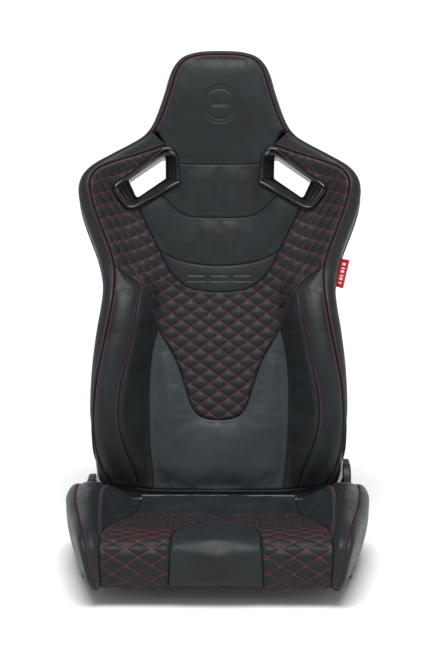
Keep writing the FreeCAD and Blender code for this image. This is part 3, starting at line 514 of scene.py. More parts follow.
LEATHER_DARK, LEATHER_LIGHT = "1d2022", "24282a"


def make_leather(name, dark=LEATHER_DARK, light=LEATHER_LIGHT, rough=(0.40, 0.52)):
    """Pebbled leatherette with slow changes of colour and gloss."""
    finish = Finish(name, Specular_IOR_Level=0.18)
    finish.tint(finish.ramp(finish.noise(18, 5), 0, 1), dark, light)
    finish.rough(finish.noise(55, 4), *rough)
    finish.bump(finish.noise(26, 4), 0.6, 0.35)
    finish.bump(finish.cells(820), 0.10, 0.55)
    finish.bump(finish.cells(2300), 0.03, 0.5)
    return finish.material


def make_perforated(name):
    """Soft leatherette with fine rows of pin holes, under the quilting."""
    finish = Finish(name, Specular_IOR_Level=0.18)
    cloth = finish.attribute("cloth")
    holes = finish.ramp(finish.cells(455, 0.0, cloth), 0, 1, (0.16, 0.30))
    finish.tint(holes, "050505", "202224")
    finish.rough(finish.noise(60, 4), 0.40, 0.52)
    finish.bump(finish.noise(30, 4), 0.5, 0.3)
    finish.bump(finish.cells(900), 0.08, 0.5)
    finish.bump(holes, 0.22, 0.8)
    return finish.material


def make_thread(name, dark, light):
    """Twisted sewing thread."""
    finish = Finish(name, Specular_IOR_Level=0.4, Sheen_Weight=0.2)
    finish.tint(finish.ramp(finish.noise(900, 2), 0, 1), dark, light)
    finish.rough(finish.noise(700, 2), 0.45, 0.62)
    finish.bump(finish.noise(2600, 2), 0.06, 0.8)
    return finish.material


def make_moulding(name, dark, light, rough, grain, grain_mm):
    """Moulded plastic, from gloss to fine texture."""
    finish = Finish(name, Specular_IOR_Level=0.5)
    finish.tint(finish.ramp(finish.noise(30, 4), 0, 1), dark, light)
    finish.rough(finish.noise(90, 5), *rough)
    finish.bump(finish.noise(grain, 3), grain_mm, 0.6)
    return finish.material


def make_metal(name, dark, light, rough, brushed=False, metallic=1.0):
    """Plated or painted metal, with a brushed run where it is bare."""
    finish = Finish(name, Metallic=metallic)
    run = finish.stretched((1, 1, 14)) if brushed else finish.coordinates
    finish.tint(finish.ramp(finish.noise(120, 5, run), 0, 1), dark, light)
    finish.rough(finish.noise(240 if brushed else 70, 4, run), *rough)
    finish.bump(finish.noise(700, 3, run), 0.04, 0.5)
    return finish.material


def make_woven(name, dark, light, pitch):
    """A plain weave of two crossed bands, for the label and the lining."""
    finish = Finish(name, Sheen_Weight=0.25, Specular_IOR_Level=0.3)
    waves = []
    for axis in ("X", "Z"):
        wave = finish.add("ShaderNodeTexWave", bands_direction=axis)
        wave.inputs["Scale"].default_value = 0.314 / (pitch * MM)
        finish.link(finish.coordinates, wave.inputs["Vector"])
        waves.append(wave.outputs["Fac"])
    both = finish.add("ShaderNodeMath", operation="MAXIMUM")
    finish.link(waves[0], both.inputs[0])
    finish.link(waves[1], both.inputs[1])
    finish.tint(finish.ramp(both.outputs["Value"], 0, 1, (0.2, 0.9)), dark, light)
    finish.rough(finish.noise(300, 2), 0.7, 0.85)
    finish.bump(both.outputs["Value"], 0.15, 0.7)
    return finish.material


LEATHER = make_leather("leatherette_satin")
# A lighter copy of the leatherette for the lower back panel: painted light, standing in for the extra light that
# panel catches.
LEATHER_PAINTED_LIGHT = make_leather("leatherette_lower_back_painted_light", "2d3134", "363b3e", (0.34, 0.46))
LEATHER_REAR = make_leather("leatherette_rear", "1b1e20", "222527", (0.42, 0.52))
PERFORATED = make_perforated("leatherette_perforated")
# A lighter, glossier leatherette for the cushion's rear welt: its light colour is a painted highlight along the
# rolled rear edge.
WELT_PAINTED_HIGHLIGHT = make_leather("leatherette_welt_painted_highlight", "4a4e51", "5c6064", (0.3, 0.4))
THREAD = make_thread("red_thread", "7c1f27", "9c2c34")
GLOSS = make_moulding("gloss_black_moulding", "070707", "0b0b0c",
                      (0.10, 0.17), 60, 0.05)
TEXTURED = make_moulding("textured_black_moulding", "101112", "181a1b",
                         (0.45, 0.60), 1500, 0.08)
BEZEL_WALL = make_moulding("ribbed_black_wall", "050505", "0a0a0b",
                           (0.5, 0.65), 1500, 0.08)
LABEL = make_woven("red_label_weave", "8d0f1c", "cf1a2c", 0.9)
LABEL_MARK = make_thread("white_label_thread", "cfcfcf", "f0f0f0")
LINING = make_woven("black_lining_weave", "0a0a0a", "1d1d1e", 1.4)
SPRING_STEEL = make_metal("oiled_spring_steel", "3c3d40", "6a6b6e", (0.28, 0.42))
NYLON = make_moulding("natural_nylon", "b9b4a4", "d2cdbd", (0.4, 0.5), 300, 0.05)
ZINC = make_metal("bright_zinc_plate", "b9bcc0", "dfe1e4", (0.16, 0.30), True)
BLACK_OXIDE = make_metal("black_oxide", "0b0b0b", "17171a", (0.35, 0.5))
POWDER = make_moulding("black_powder_coat", "0d0d0e", "161617",
                       (0.35, 0.5), 900, 0.06)

CAD_FINISHES = {
    "gloss_trim": GLOSS, "moulded_trim": TEXTURED, "tag_fabric": LABEL,
    "spring_steel": SPRING_STEEL, "nylon_clip": NYLON, "zinc_steel": ZINC,
    "black_fastener": BLACK_OXIDE, "frame_paint": POWDER,
    "leatherette": LEATHER, "back_cover": LEATHER_REAR,
}


def finish_cad_nodes():
    for subpart in frame["record"]["subparts"]:
        node = frame["nodes"][subpart["node"]]
        node.data.materials.clear()
        node.data.materials.append(CAD_FINISHES[subpart["material_slot"]])


# ---------------------------------------------------------------- meshes

def mesh_of(name, points, faces):
    """A mesh in the row frame, from millimetres."""
    mesh = bpy.data.meshes.new(name)
    mesh.from_pydata([tuple(p) for p in np.asarray(points) * MM], [],
                     [tuple(map(int, f)) for f in faces])
    return mesh


def object_of(name, data):
    """A new object of a mesh, a light or a camera, in the scene."""
    made = bpy.data.objects.new(name, data)
    bpy.context.scene.collection.objects.link(made)
    return made


def add_piece(name, points, faces, material, body, cloth=None, flat=False):
    """A visible piece that rides on a body."""
    mesh = mesh_of(name, points, faces)
    mesh.materials.append(material)
    shell = bmesh.new()
    shell.from_mesh(mesh)
    bmesh.ops.recalc_face_normals(shell, faces=shell.faces)
    shell.to_mesh(mesh)
    shell.free()
    if not flat:
        mesh.shade_smooth()
    if cloth is not None:
        layer = mesh.attributes.new("cloth", "FLOAT_VECTOR", "POINT")
        layer.data.foreach_set("vector", (np.asarray(cloth) * MM).astype(np.float32).ravel())
    piece = object_of(name, mesh)
    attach(piece, body)
    return piece


def rounded_edge(distance, radius, depth):
    """How far a rolled edge drops at a distance in from it: a quarter of an ellipse."""
    t = np.clip(1 - distance / radius, 0, 1)
    return depth * (1 - np.sqrt(np.maximum(0, 1 - t * t)))


def ripples(a, b, size, seed):
    """Smooth random swells of about that size, between -1 and 1."""
    return np.array([noise.noise(Vector((x / size, y / size, seed))) for x, y in zip(a, b)])


LEATHER_SHEET = {
    "quality": 5, "mass": 0.25, "air_damping": 4.0, "tension_stiffness": 20.0,
    "compression_stiffness": 20.0, "shear_stiffness": 8.0, "bending_stiffness": 0.3,
}
CLOTH_STEPS = 16
CLOTH_SPACING = 5.0
FOAM_PRESSURE = 1.2
CLOTH_NEIGHBOURS = 8


def settled(place, ring, foam, slack, most):
    """Where a cover comes to rest over its foam, by a cloth simulation of the panel's sheet.

    The sheet is sewn down along its outline, cut larger than it by the slack, and pushed out
    by the foam. The result is a function: how far the cover stands out at plane points.
    """
    flat, faces = fill(ring, CLOTH_SPACING, rows=(3.0,))
    start, normal = on_surface(place, flat[:, 0], flat[:, 1], foam(flat))
    sheet = object_of("sheet", mesh_of("sheet", start, faces))
    scene = bpy.context.scene
    sheet.vertex_groups.new(name="sewn").add(list(range(len(ring))), 1.0, "REPLACE")
    cloth = sheet.modifiers.new("cloth", "CLOTH")
    settings = cloth.settings
    for key, value in LEATHER_SHEET.items():
        setattr(settings, key, value)
    settings.vertex_group_mass = "sewn"
    settings.shrink_min = -slack
    settings.use_pressure, settings.uniform_pressure_force = True, FOAM_PRESSURE
    settings.effector_weights.gravity = 0.0
    cloth.collision_settings.use_collision = False
    for step in range(1, CLOTH_STEPS + 1):
        scene.frame_set(step)
    resting = sheet.evaluated_get(bpy.context.evaluated_depsgraph_get()).to_mesh()
    after = np.array([tuple(v.co) for v in resting.vertices]) / MM
    bpy.data.objects.remove(sheet)
    scene.frame_set(1)
    out = ((after - start) * normal).sum(1)
    out = most * np.tanh(out / most)
    tree = kdtree.KDTree(len(flat))
    for k, point in enumerate(flat):
        tree.insert((point[0], point[1], 0.0), k)
    tree.balance()

    def standing(points):
        result = np.empty(len(points))
        for k, point in enumerate(points):
            found = tree.find_n((point[0], point[1], 0.0), CLOTH_NEIGHBOURS)
            weight = np.array([math.exp(-(away / CLOTH_SPACING) ** 2)
                               for _, _, away in found]) + 1e-9
            result[k] = (weight * out[[index for _, index, _ in found]]).sum() / weight.sum()
        return result

    return standing


class Panel:
    """One sewn panel of a cover: an outline on a surface, rolled into its seams."""

    def __init__(self, name, place, ring, body, material=None, spacing=2.6, thickness=9.0,
                 roll=3.4, depth=2.4, crown=0.0, crown_wide=40.0, shape=None, swell=0.35,
                 slack=0.0, most=3.0, fill_level=0.8, slot="leatherette", replaces=()):
        ring = ring if signed_area(ring) > 0 else ring[::-1]
        self.place, self.ring = place, ring
        self.roll, self.depth = roll, depth
        self.crown, self.crown_wide, self.shape = crown, crown_wide, shape
        self.swell, self.seed = swell, float(sum(map(ord, name)) % 97)
        self.standing = None
        if slack:
            self.standing = settled(place, ring, self.foam, slack, most)
        flat, faces = fill(ring, spacing)
        a, b = flat.T
        count, total = len(ring), len(flat)
        lift = self.lift(flat)
        top, _ = on_surface(place, a, b, lift)
        low_flat, low_faces = fill(ring, 24.0, rows=(), clear=10.0)
        low, _ = on_surface(place, low_flat[:, 0], low_flat[:, 1], -thickness)
        k = np.arange(count)
        nxt = (k + 1) % count
        wall = np.column_stack([k, total + k, total + nxt, nxt])
        points = np.vstack([top, low])
        every = [tuple(f) for f in faces] + [tuple(f[::-1] + total) for f in low_faces]
        every += [tuple(f) for f in wall]
        cloth = np.vstack([np.column_stack([flat, np.zeros(total)]),
                           np.column_stack([low_flat, np.zeros(len(low_flat))])])
        self.piece = add_piece(name, points, every, material or LEATHER, body, cloth)
        if replaces:
            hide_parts(*replaces)

    def foam(self, flat):
        """Height of the foam over the surface: rolled edges and a crown."""
        distance = distance_to(flat, self.ring)
        t = np.clip(1 - distance / self.crown_wide, 0, 1)
        return self.crown * (1 - t * t) - rounded_edge(distance, self.roll, self.depth)

    def lift(self, flat):
        """Height of the cover: the foam, how it has settled, and the panel's own shape."""
        distance = distance_to(flat, self.ring)
        lift = self.foam(flat)
        if self.standing:
            lift = lift + self.standing(flat)
        if self.shape:
            lift = lift + self.shape(flat[:, 0], flat[:, 1], distance)
        if self.swell:
            gate = np.clip(distance / 14, 0, 1)
            lift = lift + self.swell * gate * ripples(flat[:, 0], flat[:, 1], 46, self.seed)
        return lift

    def seam(self, path, proud=0.15):
        """A row of stitches on this panel along a path: what sew() takes."""
        return self.place, path, self.lift(path) + proud


STITCH_SIDES, STITCH_RINGS = 6, 4
STITCH_SKEW = 0.07
SEAM_PROUD = 0.3


def stitch_template(long, radius):
    """One stitch lying along x, dipping at its ends: points and faces."""
    rings = np.linspace(-0.5, 0.5, STITCH_RINGS + 2)
    points = [(rings[0] * long, 0, -1.2 * radius)]
    for r in rings[1:-1]:
        size = radius * (1.0 - 0.35 * abs(2 * r))
        for k in range(STITCH_SIDES):
            turn = 2 * math.pi * k / STITCH_SIDES
            points.append((r * long, size * math.cos(turn),
                           size * math.sin(turn) - radius * (2 * r) ** 4))
    points.append((rings[-1] * long, 0, -1.2 * radius))
    faces = []
    last = len(points) - 1
    for k in range(STITCH_SIDES):
        onward = (k + 1) % STITCH_SIDES
        faces.append((0, 1 + onward, 1 + k))
        for r in range(STITCH_RINGS - 1):
            here, there = 1 + r * STITCH_SIDES, 1 + (r + 1) * STITCH_SIDES
            faces.append((here + k, here + onward, there + onward))
            faces.append((here + k, there + onward, there + k))
        top = 1 + (STITCH_RINGS - 1) * STITCH_SIDES
        faces.append((top + k, top + onward, last))
    return np.array(points), np.array(faces)


def sew(name, seams, body, pitch=4.4, long=3.5, radius=0.5, material=None):
    """Rows of stitches as one piece. A seam is (place, path, lift at each point)."""
    shape, faces = stitch_template(long, radius)
    points, every, start = [], [], 0
    for place, path, lift in seams:
        run = run_along(path)
        if run[-1] < pitch:
            continue
        at = np.arange(pitch / 2, run[-1], pitch)
        mid, ahead = (np.column_stack([np.interp(spot, run, path[:, k]) for k in (0, 1)])
                      for spot in (at, np.minimum(at + 0.8, run[-1])))
        high = np.interp(at, run, np.broadcast_to(lift, len(path)))
        centre, normal = on_surface(place, mid[:, 0], mid[:, 1], high)
        onward, _ = on_surface(place, ahead[:, 0], ahead[:, 1], high)
        along = onward - centre
        keep = np.linalg.norm(along, axis=1) > 1e-6
        centre, normal, along = centre[keep], normal[keep], along[keep]
        along = unit(along)
        across = unit(np.cross(normal, along))
        skew = SEED.uniform(-STITCH_SKEW, STITCH_SKEW, len(centre))[:, None]
        along = along + across * skew
        normal = np.cross(along, across)
        placed = (centre[:, None] + along[:, None] * shape[None, :, 0:1]
                  + across[:, None] * shape[None, :, 1:2] + normal[:, None] * shape[None, :, 2:3])
        count = len(centre)
        points.append(placed.reshape(-1, 3))
        offsets = start + np.arange(count) * len(shape)
        every.append((faces[None] + offsets[:, None, None]).reshape(-1, 3))
        start += count * len(shape)
    return add_piece(name, np.vstack(points), np.vstack(every), material or THREAD, body)


def ribbon(name, grid, body, material, closed=False, thickness=5.0,
           replaces=()):
    """A strip from rows of points, given as an array [row, along, xyz], closed on its inside."""
    rows, count, _ = grid.shape
    down = np.gradient(grid, axis=0)
    along = np.gradient(grid, axis=1)
    inner = grid - unit(np.cross(along, down)) * thickness
    points = np.vstack([grid.reshape(-1, 3), inner.reshape(-1, 3)])
    total = rows * count
    faces = []
    span = count if closed else count - 1
    for r in range(rows - 1):
        for k in range(span):
            n = (k + 1) % count
            a, b, c, d = r * count + k, r * count + n, (r + 1) * count + n, (r + 1) * count + k
            faces.append((a, d, c, b))
            faces.append((total + a, total + b, total + c, total + d))
    for k in range(span):
        n = (k + 1) % count
        faces.append((k, n, total + n, total + k))
        last = (rows - 1) * count
        faces.append((last + n, last + k, total + last + k, total + last + n))
    if not closed:
        for r in range(rows - 1):
            a, b = r * count, (r + 1) * count
            faces.append((a, total + a, total + b, b))
            a, b = a + count - 1, b + count - 1
            faces.append((a, b, total + b, total + a))
    piece = add_piece(name, points, faces, material, body)
    if replaces:
        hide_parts(*replaces)
    return piece


# ---------------------------------------------------------------- lines of the backrest

# The waist and the shoulder up to the neck, which both outlines share.
WAIST_AND_SHOULDER = [
    (238, 170), (235, 235), (228, 299), (221, 348), (219, 380), (222, 412), (230, 447),
    (244, 485), (257, 520), (265.5, 550), (268.5, 578), (263, 602), (246, 626), (211, 649.5),
    (170, 673), (149, 686.5), (137, 699)]
NECK = WAIST_AND_SHOULDER[-1]

# Right half of the outline, from its lower corner up to the top centre.
OUTLINE = smooth([(200, 13), (214, 36), (229, 64), (235, 84), (238, 120)] + WAIST_AND_SHOULDER + [
    (127, 716), (119, 736), (111, 760), (104, 783), (98, 806), (88, 830), (72, 847),
    (44, 857), (0, 860)])

# In front of the recliner the cover comes lower and wider, with its hem cut back round it.
FRONT_OUTLINE = smooth([(204, 9), (219, 21), (225, 40), (227.5, 62), (229, 86), (232, 105),
                        (237, 135)] + WAIST_AND_SHOULDER)
FRONT_HEM = track((0, 33), (50, 33), (74, 1), (900, 1))

# The seam that divides the front panels from the side band, from the headrest down.
SIDE_SEAM = smooth([
    (104, 667), (150, 650), (200, 632), (231, 616), (245.5, 590), (240, 549), (222, 497),
    (205, 452), (197, 422), (196, 390), (202, 330), (216, 252), (224, 208), (229, 165),
    (230, 120), (227, 86), (218, 52), (198, 16)])
NECK_OUT = (131, 704)
NECK_IN = (124, 699)
RIDGE_TOP = (147, 382)
RIDGE_END = smooth([SIDE_SEAM[nearest(SIDE_SEAM, (197, 424))], (176, 410), (156, 395), RIDGE_TOP])
RIDGE_SEAM = smooth([RIDGE_TOP, (153, 330), (167, 245), (180, 188), (184, 149), (182, 113),
                     (171, 76), (155, 38), (148, 9)])
V_SEAM = smooth([RIDGE_TOP, (128, 346), (114, 309), (98, 279), (82, 251), (65, 203), (53, 166),
                 (40, 146), (22, 138), (0, 136)])
CENTRE_SEAM = smooth([V_SEAM[nearest(V_SEAM, (114, 309))], (123, 268), (128, 215), (129, 166),
                      (127, 88), (123, 42), (121, 8)])
BADGE_LOW = smooth([(110, 458), (104, 441), (86, 413), (58, 391), (28, 384), (0, 382)])
UPPER_LOW = smooth([(110, 458), (76, 443), (36, 435), (0, 433)])
UPPER_SIDE = smooth([(156, 550), (137, 509), (119, 473), (110, 458)])
YOKE_LOW = smooth([(114, 573), (91, 549), (74, 536), (58, 529), (30, 527), (0, 527)])
YOKE_TOP = smooth([(88, 631), (0, 631)])
LOW_EDGE = smooth([(198, 16), (150, 9), (0, 6)])

HEAD_SEAM = beside(OUTLINE[nearest(OUTLINE, NECK):], 11.0)
HEAD_SEAM = HEAD_SEAM[HEAD_SEAM[:, 0] > 0.4]
HEAD_SEAM = np.vstack([HEAD_SEAM, [(0.0, HEAD_SEAM[-1, 1])]])

FLANGE = ((208.5, 580), (173, 532), (72.5, 591.5), (82.5, 682))
HOLE = ((178, 614), (160, 573.5), (105.5, 612.5), (106, 665))
FLANGE_RING, HOLE_RING = (
    ring if signed_area(ring) > 0 else ring[::-1]
    for ring in (round_quad(FLANGE, (16, 20, 12, 22)), round_quad(HOLE, (5, 5, 5, 5))))
UNDER_FLANGE = 4.0
SLOT_RING = closed_resampled(inset_points(FLANGE_RING, UNDER_FLANGE), 2.0)


def along_slot(start, end, through):
    """The part of the slot's ring from near one point to near another, past a third."""
    i, j, k = (nearest(SLOT_RING, p) for p in (start, end, through))
    count = len(SLOT_RING)
    forward = [(i + n) % count for n in range((j - i) % count + 1)]
    if k in forward:
        return SLOT_RING[forward]
    return SLOT_RING[[(i - n) % count for n in range((i - j) % count + 1)]]


def up_to(path, point):
    return path[:nearest(path, point) + 1]


def beyond(path, point):
    return path[nearest(path, point):]


# Quilting: lines cross at the slope of a diamond, and flatten on one side of each wing.
DIAMOND_WIDE, DIAMOND_TALL = 36.0, 27.0
TURN_FROM, TURN_OVER = 85.0, 90.0
FLAT_SLOPE, STEEP_SLOPE = 0.42, 1.5
QUILT_FOOT = 137.0
QUILT_EDGE, QUILT_LEAST, QUILT_SINK = 6.0, 0.15, 0.6


def quilt_slope(u):
    inner = DIAMOND_TALL / DIAMOND_WIDE
    return (inner + ease((-u - TURN_FROM) / TURN_OVER) * (FLAT_SLOPE - inner)
            + ease((u - TURN_FROM) / TURN_OVER) * (STEEP_SLOPE - inner))


_quilt_u = np.arange(-280, 281, 1.0)
_quilt_rise = np.cumsum(quilt_slope(_quilt_u))
_quilt_rise -= np.interp(0, _quilt_u, _quilt_rise)


def back_quilt_line(u):
    return np.interp(u, _quilt_u, _quilt_rise)


def pillows(one, two, distance, high):
    """Domes between two families of channels, one channel at each whole number."""
    dome = (np.abs(np.sin(math.pi * one)) * np.abs(np.sin(math.pi * two))) ** 0.5
    return high * dome * np.clip(distance / QUILT_EDGE, QUILT_LEAST, 1) - QUILT_SINK


def back_quilt(u, v, distance):
    """Pillows between the quilting lines."""
    one, two = ((v - QUILT_FOOT - back_quilt_line(sign * u)) / DIAMOND_TALL for sign in (1, -1))
    return pillows(one, two, distance, 3.4)


def clipped_runs(path, ring, margin):
    """The stretches of a path that lie inside a ring, that far from its edge."""
    keep = inside(path, ring) & (distance_to(path, ring) > margin)
    runs, start = [], None
    for k, ok in enumerate(list(keep) + [False]):
        if ok and start is None:
            start = k
        elif not ok and start is not None:
            if k - start > 3:
                runs.append(path[start:k])
            start = None
    return runs


def sew_quilting(name, panel, across, lines, line, body):
    """Stitches along both families of quilting lines, as far as the panel reaches."""
    seams = []
    for k in lines:
        for sign in (-1, 1):
            path = np.column_stack([across, line(across, k, sign)])
            for run in clipped_runs(path, panel.ring, 2.2):
                seams.append((panel.place, run, SEAM_PROUD))
    sew(name, seams, body, pitch=4.2, long=3.6, radius=0.52)


def make_back_quilt():
    half = [V_SEAM[::-1], RIDGE_END[::-1], up_to(SIDE_SEAM, RIDGE_END[0])[::-1],
            along_slot((112, 662), (156, 550), (196, 588)), UPPER_SIDE, BADGE_LOW]
    ring = closed_both_sides(*half)
    panel = Panel("back_quilted_panel", place_front, ring, "back", PERFORATED, spacing=2.0,
                  thickness=12, shape=back_quilt, swell=0,
                  replaces=("shoulder_wing_left", "shoulder_wing_right"))
    sew_quilting("back_quilt_stitching", panel, np.arange(-262, 262, 1.5), range(-12, 34),
                 lambda u, k, sign: QUILT_FOOT + k * DIAMOND_TALL + back_quilt_line(sign * u),
                 "back")
    return panel


def make_back_plain_panels():
    headrest = Panel("headrest_cover", place_front, closed_both_sides(
        YOKE_TOP[::-1], along_slot((88, 631), (112, 662), (98, 650)),
        [SIDE_SEAM[0], NECK_IN], HEAD_SEAM), "back", crown=1.5, slack=0.006, shape=ring_emboss,
        replaces=("headrest_pad",))
    Panel("yoke_cover", place_front, closed_both_sides(
        YOKE_LOW[::-1], along_slot((114, 573), (88, 631), (92, 604)), YOKE_TOP), "back",
        crown=2.0, slack=0.008, replaces=("shoulder_rim_left", "shoulder_rim_right"))
    Panel("upper_back_cover", place_front, closed_both_sides(
        UPPER_LOW[::-1], UPPER_SIDE[::-1], along_slot((156, 550), (114, 573), (136, 562)),
        YOKE_LOW), "back", crown=2.5, slack=0.008, replaces=("upper_back_pad",))
    Panel("badge_cover", place_front, closed_both_sides(
        BADGE_LOW[::-1], UPPER_LOW), "back", spacing=1.7, crown=1.5, crown_wide=16,
        shape=bar_emboss)
    # The lower back panel takes the lighter copy of the leatherette: painted light on that panel.
    Panel("lower_back_cover", place_front, closed_both_sides(
        LOW_EDGE[::-1][:nearest(LOW_EDGE[::-1], CENTRE_SEAM[-1]) + 1], CENTRE_SEAM[::-1],
        beyond(V_SEAM, CENTRE_SEAM[0])), "back", LEATHER_PAINTED_LIGHT, crown=6.0, crown_wide=70,
        swell=0.9, slack=0.01, replaces=("back_pad_centre",))
    return headrest


EMBLEM_V, BADGE_V = 748.0, 408.5
BAR_PITCH, BAR_HALF, BAR_TALL = 44.0, 18.0, 5.5


def ring_emboss(u, v, distance):
    """A plain pressed ring with a bar through its centre, on the headrest."""
    away = np.hypot(u, v - EMBLEM_V)
    groove = np.exp(-((away - 30) / 1.6) ** 2) + 0.7 * np.exp(-((away - 36) / 1.6) ** 2)
    bar = np.exp(-(np.maximum(np.abs(v - EMBLEM_V) - 3.5, 0) / 1.2) ** 2)
    bar = bar * np.exp(-(np.maximum(np.abs(u) - 14, 0) / 1.2) ** 2)
    return -2.2 * np.clip(groove, 0, 1) - 1.5 * bar


def bar_emboss(u, v, distance):
    """Three plain pressed bars side by side on the badge panel."""
    out = np.zeros_like(u)
    for k in (-1, 0, 1):
        edge = np.maximum(np.abs(u - k * BAR_PITCH) - BAR_HALF, np.abs(v - BADGE_V) - BAR_TALL)
        out = out + np.exp(-(edge / 1.3) ** 2)
    return -1.8 * np.clip(out, 0, 1)


def make_bolster_panels(name, sign):
    ridge = chain(RIDGE_END, RIDGE_SEAM, LOW_EDGE[:nearest(LOW_EDGE, RIDGE_SEAM[-1])][::-1],
                  beyond(SIDE_SEAM, RIDGE_END[0])[::-1])
    ridge_panel = Panel(f"bolster_ridge_cover_{name}", place_front, on_side(ridge, sign), "back",
                        crown=4.5, crown_wide=26, slack=0.008,
                        replaces=(f"back_bolster_{name}",))
    inner = chain(RIDGE_SEAM, LOW_EDGE[nearest(LOW_EDGE, RIDGE_SEAM[-1]):
                                       nearest(LOW_EDGE, CENTRE_SEAM[-1]) + 1],
                  CENTRE_SEAM[::-1], up_to(V_SEAM, CENTRE_SEAM[0])[::-1])
    Panel(f"bolster_inner_cover_{name}", place_front, on_side(inner, sign), "back", crown=1.5,
          swell=0.6, slack=0.012)
    return ridge_panel


def side_band(name, seam, outline, height, hem, radius, drop, body, material, sign=1, out=1,
              rows_front=14, rows_side=12, groove=1.8, bulge=2.5, closed=False, replaces=()):
    """A band of the backrest from a seam, over the edge, and down the side to its hem.
    Both paths run with the backrest on their left. out is 1 in front and -1 at the rear."""
    count = max(len(seam), len(outline))
    share = np.linspace(0, 1, count)
    seam, outline = (np.column_stack([np.interp(share, np.linspace(0, 1, len(p)), p[:, k])
                                      for k in (0, 1)]) for p in (seam, outline))
    wide = np.linalg.norm(outline - seam, axis=1)
    grid = []
    for t in np.sin(np.linspace(0, math.pi / 2, rows_front)):
        flat = seam + (outline - seam) * t
        lift = -rounded_edge(wide * t, 3.4, groove)
        lift = lift - rounded_edge(wide * (1 - t), np.minimum(radius, wide), drop)
        u = flat[:, 0] * sign
        grid.append(back_to_row(u, flat[:, 1], height(u, flat[:, 1]) + out * lift))
    outward = beside(outline, -1.0) - outline
    start = height(outline[:, 0] * sign, outline[:, 1]) - out * drop
    hem = hem(outline[:, 1])
    for t in np.linspace(0, 1, rows_side)[1:]:
        flat = outline + outward * bulge * math.sin(math.pi * t)
        grid.append(back_to_row(flat[:, 0] * sign, flat[:, 1], start + (hem - start) * t))
    grid = np.array(grid)
    if sign * out > 0:
        grid = grid[:, ::-1]
    return ribbon(name, grid, body, material, closed=closed, replaces=replaces)


def tube(name, path, radius, body, material, closed=True, sides=8):
    """A round cord along a path of points, such as a welt."""
    along = np.roll(path, -1, axis=0) - np.roll(path, 1, axis=0)
    if not closed:
        along[0], along[-1] = path[1] - path[0], path[-1] - path[-2]
    along = unit(along)
    across = unit(np.cross(along, [0.0, math.cos(RECLINE), -math.sin(RECLINE)]))
    up = np.cross(across, along)
    turns = np.arange(sides) * 2 * math.pi / sides
    ring = (path[:, None] + radius * (np.cos(turns)[None, :, None] * across[:, None]
                                      + np.sin(turns)[None, :, None] * up[:, None]))
    count = len(path)
    faces = []
    for k in range(count if closed else count - 1):
        for j in range(sides):
            here, there, n = k * sides, (k + 1) % count * sides, (j + 1) % sides
            faces.append((here + j, here + n, there + n, there + j))
    if not closed:
        faces.append(tuple(range(sides))[::-1])
        faces.append(tuple((count - 1) * sides + j for j in range(sides)))
    return add_piece(name, ring.reshape(-1, 3), faces, material, body)


# The lower edge, rolled down in front of the recliner shaft.
LOW_ROLL = smooth([(-204, 9), (-178, 0), (-140, -4), (0, -5), (140, -4), (178, 0), (204, 9)])
OUTLINE_RING = chain(OUTLINE, mirror(OUTLINE),
                     smooth([(-200, 13), (-100, 10.5), (0, 10), (100, 10.5), (200, 13)]))
OUTLINE_RING = closed_resampled(OUTLINE_RING, 2.5)
REAR_INSET = 15.0


def level_hem(w):
    return track((0, w), (900, w))


def make_back_bands():
    low_seam = LOW_EDGE * np.array([-1, 1])
    low_seam = np.vstack([low_seam, LOW_EDGE[::-1][1:]])
    for name, sign in SIDES:
        side_band(f"back_side_band_{name}", SIDE_SEAM[::-1], up_to(FRONT_OUTLINE, NECK_OUT),
                  back_height, FRONT_HEM, 15, 15, "back", LEATHER, sign=sign, bulge=1.2)
    head_out = beyond(OUTLINE, NECK)
    side_band("headrest_edge_band", np.vstack([HEAD_SEAM, mirror(HEAD_SEAM)[1:]]),
              np.vstack([head_out, mirror(head_out)[1:]]), back_height,
              level_hem(1.0), 10, 15, "back", LEATHER)
    side_band("back_lower_band", low_seam, LOW_ROLL, back_height,
              track((-10, 8.5), (0, 8.5), (20, 32)), 18, 17, "back", LEATHER)
    side_band("back_rear_band", inset_points(OUTLINE_RING, REAR_INSET), OUTLINE_RING, rear_height,
              level_hem(-2.0), REAR_INSET, 20, "back", LEATHER_REAR, out=-1, closed=True,
              bulge=1.0)
    welt = beside(OUTLINE_RING, -0.6)
    tube("back_edge_welt", back_to_row(welt[:, 0], welt[:, 1], np.full(len(welt), -0.5)), 2.4,
         "back", LEATHER_REAR)


REAR_HOLE = closed_resampled(inset_points(HOLE_RING, -6.0), 2.0)
REAR_SPLIT = 603.0


